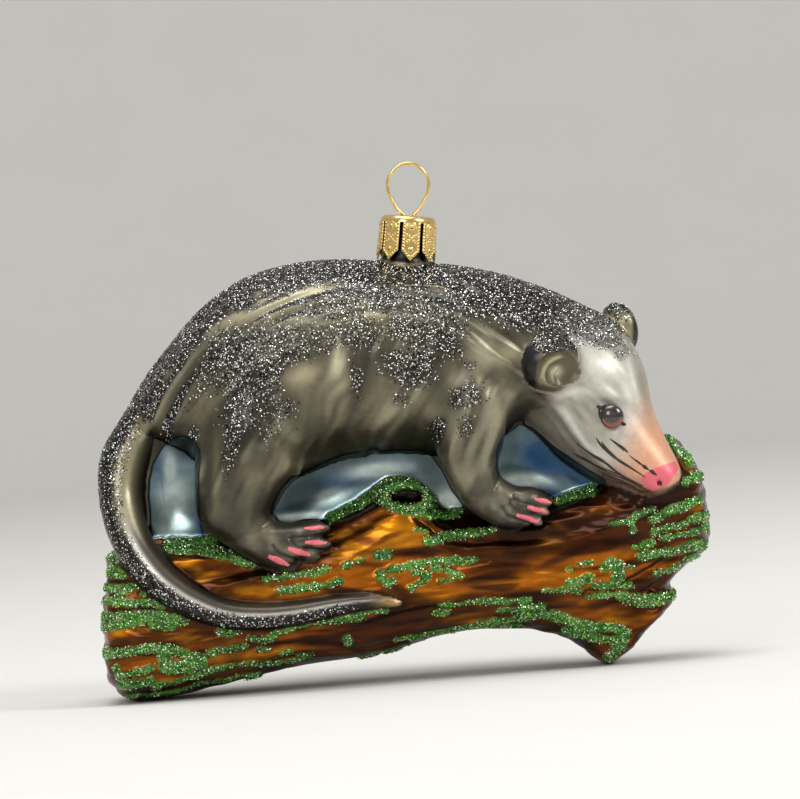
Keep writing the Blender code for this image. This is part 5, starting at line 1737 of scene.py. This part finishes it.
def crown_cap(material):
    """The crown cap: thin stamped sheet, slit below the shoulder into pointed petals with rows of dots."""
    columns = 44
    rows = 84
    shoulder_rows = 18
    sheet = 0.3
    shoulder_down = 1.4
    profile = np.array([
        (2.0, 0.0), (4.6, 0.0), (5.0, 0.06), (5.35, 0.24), (5.62, 0.55), (5.78, 0.95),
        (CAP_SHOULDER_RADIUS, shoulder_down), (5.9, 4.0),
        (6.0, CAP_HEIGHT - PETAL_POINT - 0.8), (CAP_SKIRT_RADIUS, CAP_HEIGHT),
    ])
    shoulder = 6
    half = math.pi / PETALS - SLIT_HALF
    at_rim = np.linspace(0, shoulder, shoulder_rows)
    rim_radius = np.interp(at_rim, range(shoulder + 1), profile[:shoulder + 1, 0])
    rim_down = np.interp(at_rim, range(shoulder + 1), profile[:shoulder + 1, 1])
    points, faces = [], []
    for petal in range(PETALS):
        middle = -math.pi / 2 + PETAL_TURN + 2 * math.pi * petal / PETALS
        for share in np.linspace(-1, 1, columns + 1):
            bottom = CAP_HEIGHT - 0.03 - PETAL_POINT * abs(share)
            down = np.concatenate([rim_down, np.linspace(shoulder_down, bottom, rows + 1)[1:]])
            skirt = np.interp(down[shoulder_rows:], profile[:, 1], profile[:, 0])
            radius = np.concatenate([rim_radius, skirt])
            aside = share * half * radius
            rise = petal_relief(aside, down) - 0.25 * smooth(0.92, 1.0, abs(share)) * (down > shoulder_down)
            shell = radius - 0.12 + 0.9 * rise * (down > 1.0)
            angle = middle + share * half
            strip_points = [shell * math.cos(angle), shell * math.sin(angle), CAP_HEIGHT - down]
            points += list(np.stack(strip_points, axis=1))
    strip = shoulder_rows + rows
    strips = columns + 1
    for petal in range(PETALS):
        for column in range(strips):
            left = (petal * strips + column) * strip
            if column < columns:
                right, depth = left + strip, strip
            else:
                right, depth = ((petal + 1) % PETALS) * strips * strip, shoulder_rows
            for row in range(depth - 1):
                faces.append((left + row, left + row + 1, right + row + 1, right + row))
    cap = mesh_piece("cap_crown", in_cap_frame(np.array(points)), faces, material)
    solid = cap.modifiers.new("sheet", "SOLIDIFY")
    solid.thickness = sheet * MM
    solid.offset = -1
    solid.use_even_offset = False
    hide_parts("crown_cap")


def wire_ring(material):
    """The wire ring: an egg-shaped loop above the cap, whose two legs run down into the neck."""
    wire = 0.96 * WIRE_RADIUS
    half_width = LOOP_WIDTH / 2 - WIRE_RADIUS
    crown = LOOP_HEIGHT - WIRE_RADIUS
    middle = 0.54 * LOOP_HEIGHT
    legs = [(0.8, -5.5), (0.85, -3.8), (0.95, -1.9), (1.0, 0.0), (1.45, 0.6)]
    belly = [(2.4, 1.6), (3.2, 3.0), (4.0, 4.6)]
    half = legs + belly
    for step in range(10):
        angle = math.pi / 2 * step / 9
        half.append((half_width * math.cos(angle), middle + (crown - middle) * math.sin(angle)))
    path = resampled(half + [(-x, z) for x, z in reversed(half[:-1])], 6)
    along = unit(np.gradient(path, axis=0))
    sides = 24
    angles = np.arange(sides) * (2 * math.pi / sides)
    rings = []
    for (x, z), (run_x, run_z) in zip(path, along):
        across = np.array([run_z, 0, -run_x])
        level = np.array([0, 1, 0])
        rings.append((x, 0, z) + wire * (np.cos(angles)[:, None] * across + np.sin(angles)[:, None] * level))
    ends = [(path[0, 0], 0, path[0, 1]), (path[-1, 0], 0, path[-1, 1])]
    points = np.vstack([np.array(rings).reshape(-1, 3), ends])
    foot = np.array(CAP_BASE) + np.array((math.sin(CAP_TILT), 0, math.cos(CAP_TILT))) * CAP_HEIGHT
    points = points @ np.array(Matrix.Rotation(RING_TILT, 3, "Y")).T + foot
    ring = mesh_piece("wire_ring", points, tube_faces(len(rings), sides), material)
    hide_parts("hanger_ring")


def stage():
    """A pale round bowl: a floor that bends up into a wall on every side."""
    floor_radius = 1500.0
    bend_radius = 600.0
    wall_top = 1500.0
    sides = 96
    steps = 24
    profile = [(floor_radius * share, 0.0) for share in (0.05, 0.2, 0.5, 1.0)]
    for step in range(1, steps + 1):
        angle = math.pi / 2 * step / steps
        profile.append((floor_radius + bend_radius * math.sin(angle), bend_radius * (1 - math.cos(angle))))
    profile.append((floor_radius + bend_radius, wall_top))
    points = [(0.0, 0.0, 0.0)]
    for radius, height in profile:
        for side in range(sides):
            angle = 2 * math.pi * side / sides
            points.append((radius * math.cos(angle) * MM, radius * math.sin(angle) * MM, height * MM))
    faces = []
    for side in range(sides):
        after = (side + 1) % sides
        faces.append((0, 1 + side, 1 + after))
        for ring in range(len(profile) - 1):
            inner, outer = 1 + ring * sides, 1 + (ring + 1) * sides
            faces.append((inner + side, outer + side, outer + after, inner + after))
    mesh = bpy.data.meshes.new("backdrop")
    mesh.from_pydata(points, [], faces)
    mesh.shade_smooth()
    finish = Finish("paper", Roughness=0.9)
    tone = finish.node("ShaderNodeRGB")
    tone.outputs[0].default_value = (*srgb(225, 224, 221), 1.0)
    shade = finish.between(finish.noise(0.02, 2.0), 0.99, 1.005)
    finish.link(finish.shaded(tone.outputs[0], shade), finish.shader.inputs["Base Color"])
    mesh.materials.append(finish.material)
    backdrop = bpy.data.objects.new("backdrop", mesh)
    bpy.context.scene.collection.objects.link(backdrop)


def light(name, place, target, size, watts, colour=(1.0, 1.0, 1.0)):
    """A soft square light, aimed at a target. Places are in millimetres."""
    lamp = bpy.data.lights.new(name, "AREA")
    lamp.shape = "SQUARE"
    lamp.size = size * MM
    lamp.energy = watts
    lamp.color = colour
    holder = bpy.data.objects.new(name, lamp)
    holder.location = Vector(place) * MM
    holder.rotation_euler = (Vector(target) - Vector(place)).to_track_quat("-Z", "Y").to_euler()
    bpy.context.scene.collection.objects.link(holder)


def lights():
    light("overhead", (-100, -150, 1350), (0, 0, 40), 900, 10.5, (1.0, 0.99, 0.97))
    light("key", (900, -520, 760), (20, 0, 50), 420, 5.5)
    light("front", (-420, -1150, 640), (0, 0, 50), 420, 3.0)
    world = bpy.data.worlds.new("studio")
    bpy.context.scene.world = world
    world.use_nodes = True
    sky = world.node_tree.nodes["Background"]
    sky.inputs["Color"].default_value = (0.93, 0.93, 0.92, 1.0)
    sky.inputs["Strength"].default_value = 0.6


def camera():
    """Looks at the ornament as the photograph does."""
    lens = bpy.data.cameras.new("camera")
    lens.sensor_width = SENSOR_WIDTH
    lens.lens = SENSOR_WIDTH * CAMERA_DISTANCE / (PHOTO_SIZE[0] * MM_PER_PIXEL)
    lens.clip_start = 0.05
    lens.clip_end = 20.0
    holder = bpy.data.objects.new("camera", lens)
    turn = Matrix((RIGHT, UP, -FORWARD)).transposed().to_4x4()
    holder.matrix_world = Matrix.Translation(Vector(CAMERA_PLACE) * MM) @ turn
    bpy.context.scene.collection.objects.link(holder)
    bpy.context.scene.camera = holder


def dress_glass(skin):
    """The skin of glass in its lacquer."""
    body = mesh_piece("glass_skin", skin.points, skin.faces, lacquer())
    keep_colours(body, "paint", paint(skin))
    metallic, roughness = finishes(skin)
    keep_numbers(body, "metal", metallic)
    keep_numbers(body, "rough", roughness)
    nose = skin.nose - 2.4 * bell(skin.places, *NOSTRIL_BARE)
    keep_numbers(body, "nose", np.where(skin.own("head"), nose, -REACH))
    keep_numbers(body, "outline", outline(skin))
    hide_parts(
        "torso", "neck", "head", "ear_near", "ear_far", "hind_leg_near", "hind_leg_far",
        "foreleg_near", "foreleg_far", "hind_paw_near", "hind_paw_far", "fore_paw_near", "fore_paw_far",
        "tail_base", "tail_middle", "tail_tip", "panel_rear", "panel_middle", "panel_front",
        "log", "log_stub", "glass_neck")


def silver_glitter(skin):
    """Silver glitter, with dark flakes among the bright ones, over the back and the tail."""
    places, normals = scattered(skin, SILVER_DENSITY * skin.glitter, 5)
    material = flake_finish("silver_glitter", 0.2)
    piece = flakes("silver_flakes", places, normals, material, SILVER_TONES, SILVER_SHARES, (0.11, 0.23),
                   0.36, (0.02, 0.12), 6)


def green_glitter(skin):
    """Green glitter heaped on the moss."""
    places, normals = scattered(skin, MOSS_DENSITY * smooth(0.35, 0.75, skin.moss), 7)
    material = flake_finish("green_glitter", 0.24)
    piece = flakes("moss_flakes", places, normals, material, MOSS_TONES, MOSS_SHARES, (0.12, 0.25),
                   0.6, (0.05, 0.3), 8)


def dress():
    """Builds every piece of the ornament."""
    skin = Skin()
    model(skin)
    skin.glitter = glitter_density(skin)
    dress_glass(skin)
    silver_glitter(skin)
    green_glitter(skin)
    head_lines(skin, brush_finish("dark_line", srgb(38, 16, 12), 0.35))
    claws(skin, brush_finish("claw_pink", srgb(240, 116, 128), 0.4))
    gloss = eye_finish()
    eye("eye_near", gloss)
    eye("eye_far", gloss)
    gold = gilt()
    crown_cap(gold)
    wire_ring(gold)


dress()
stage()
lights()
camera()
bpy.context.scene.view_settings.view_transform = "Standard"
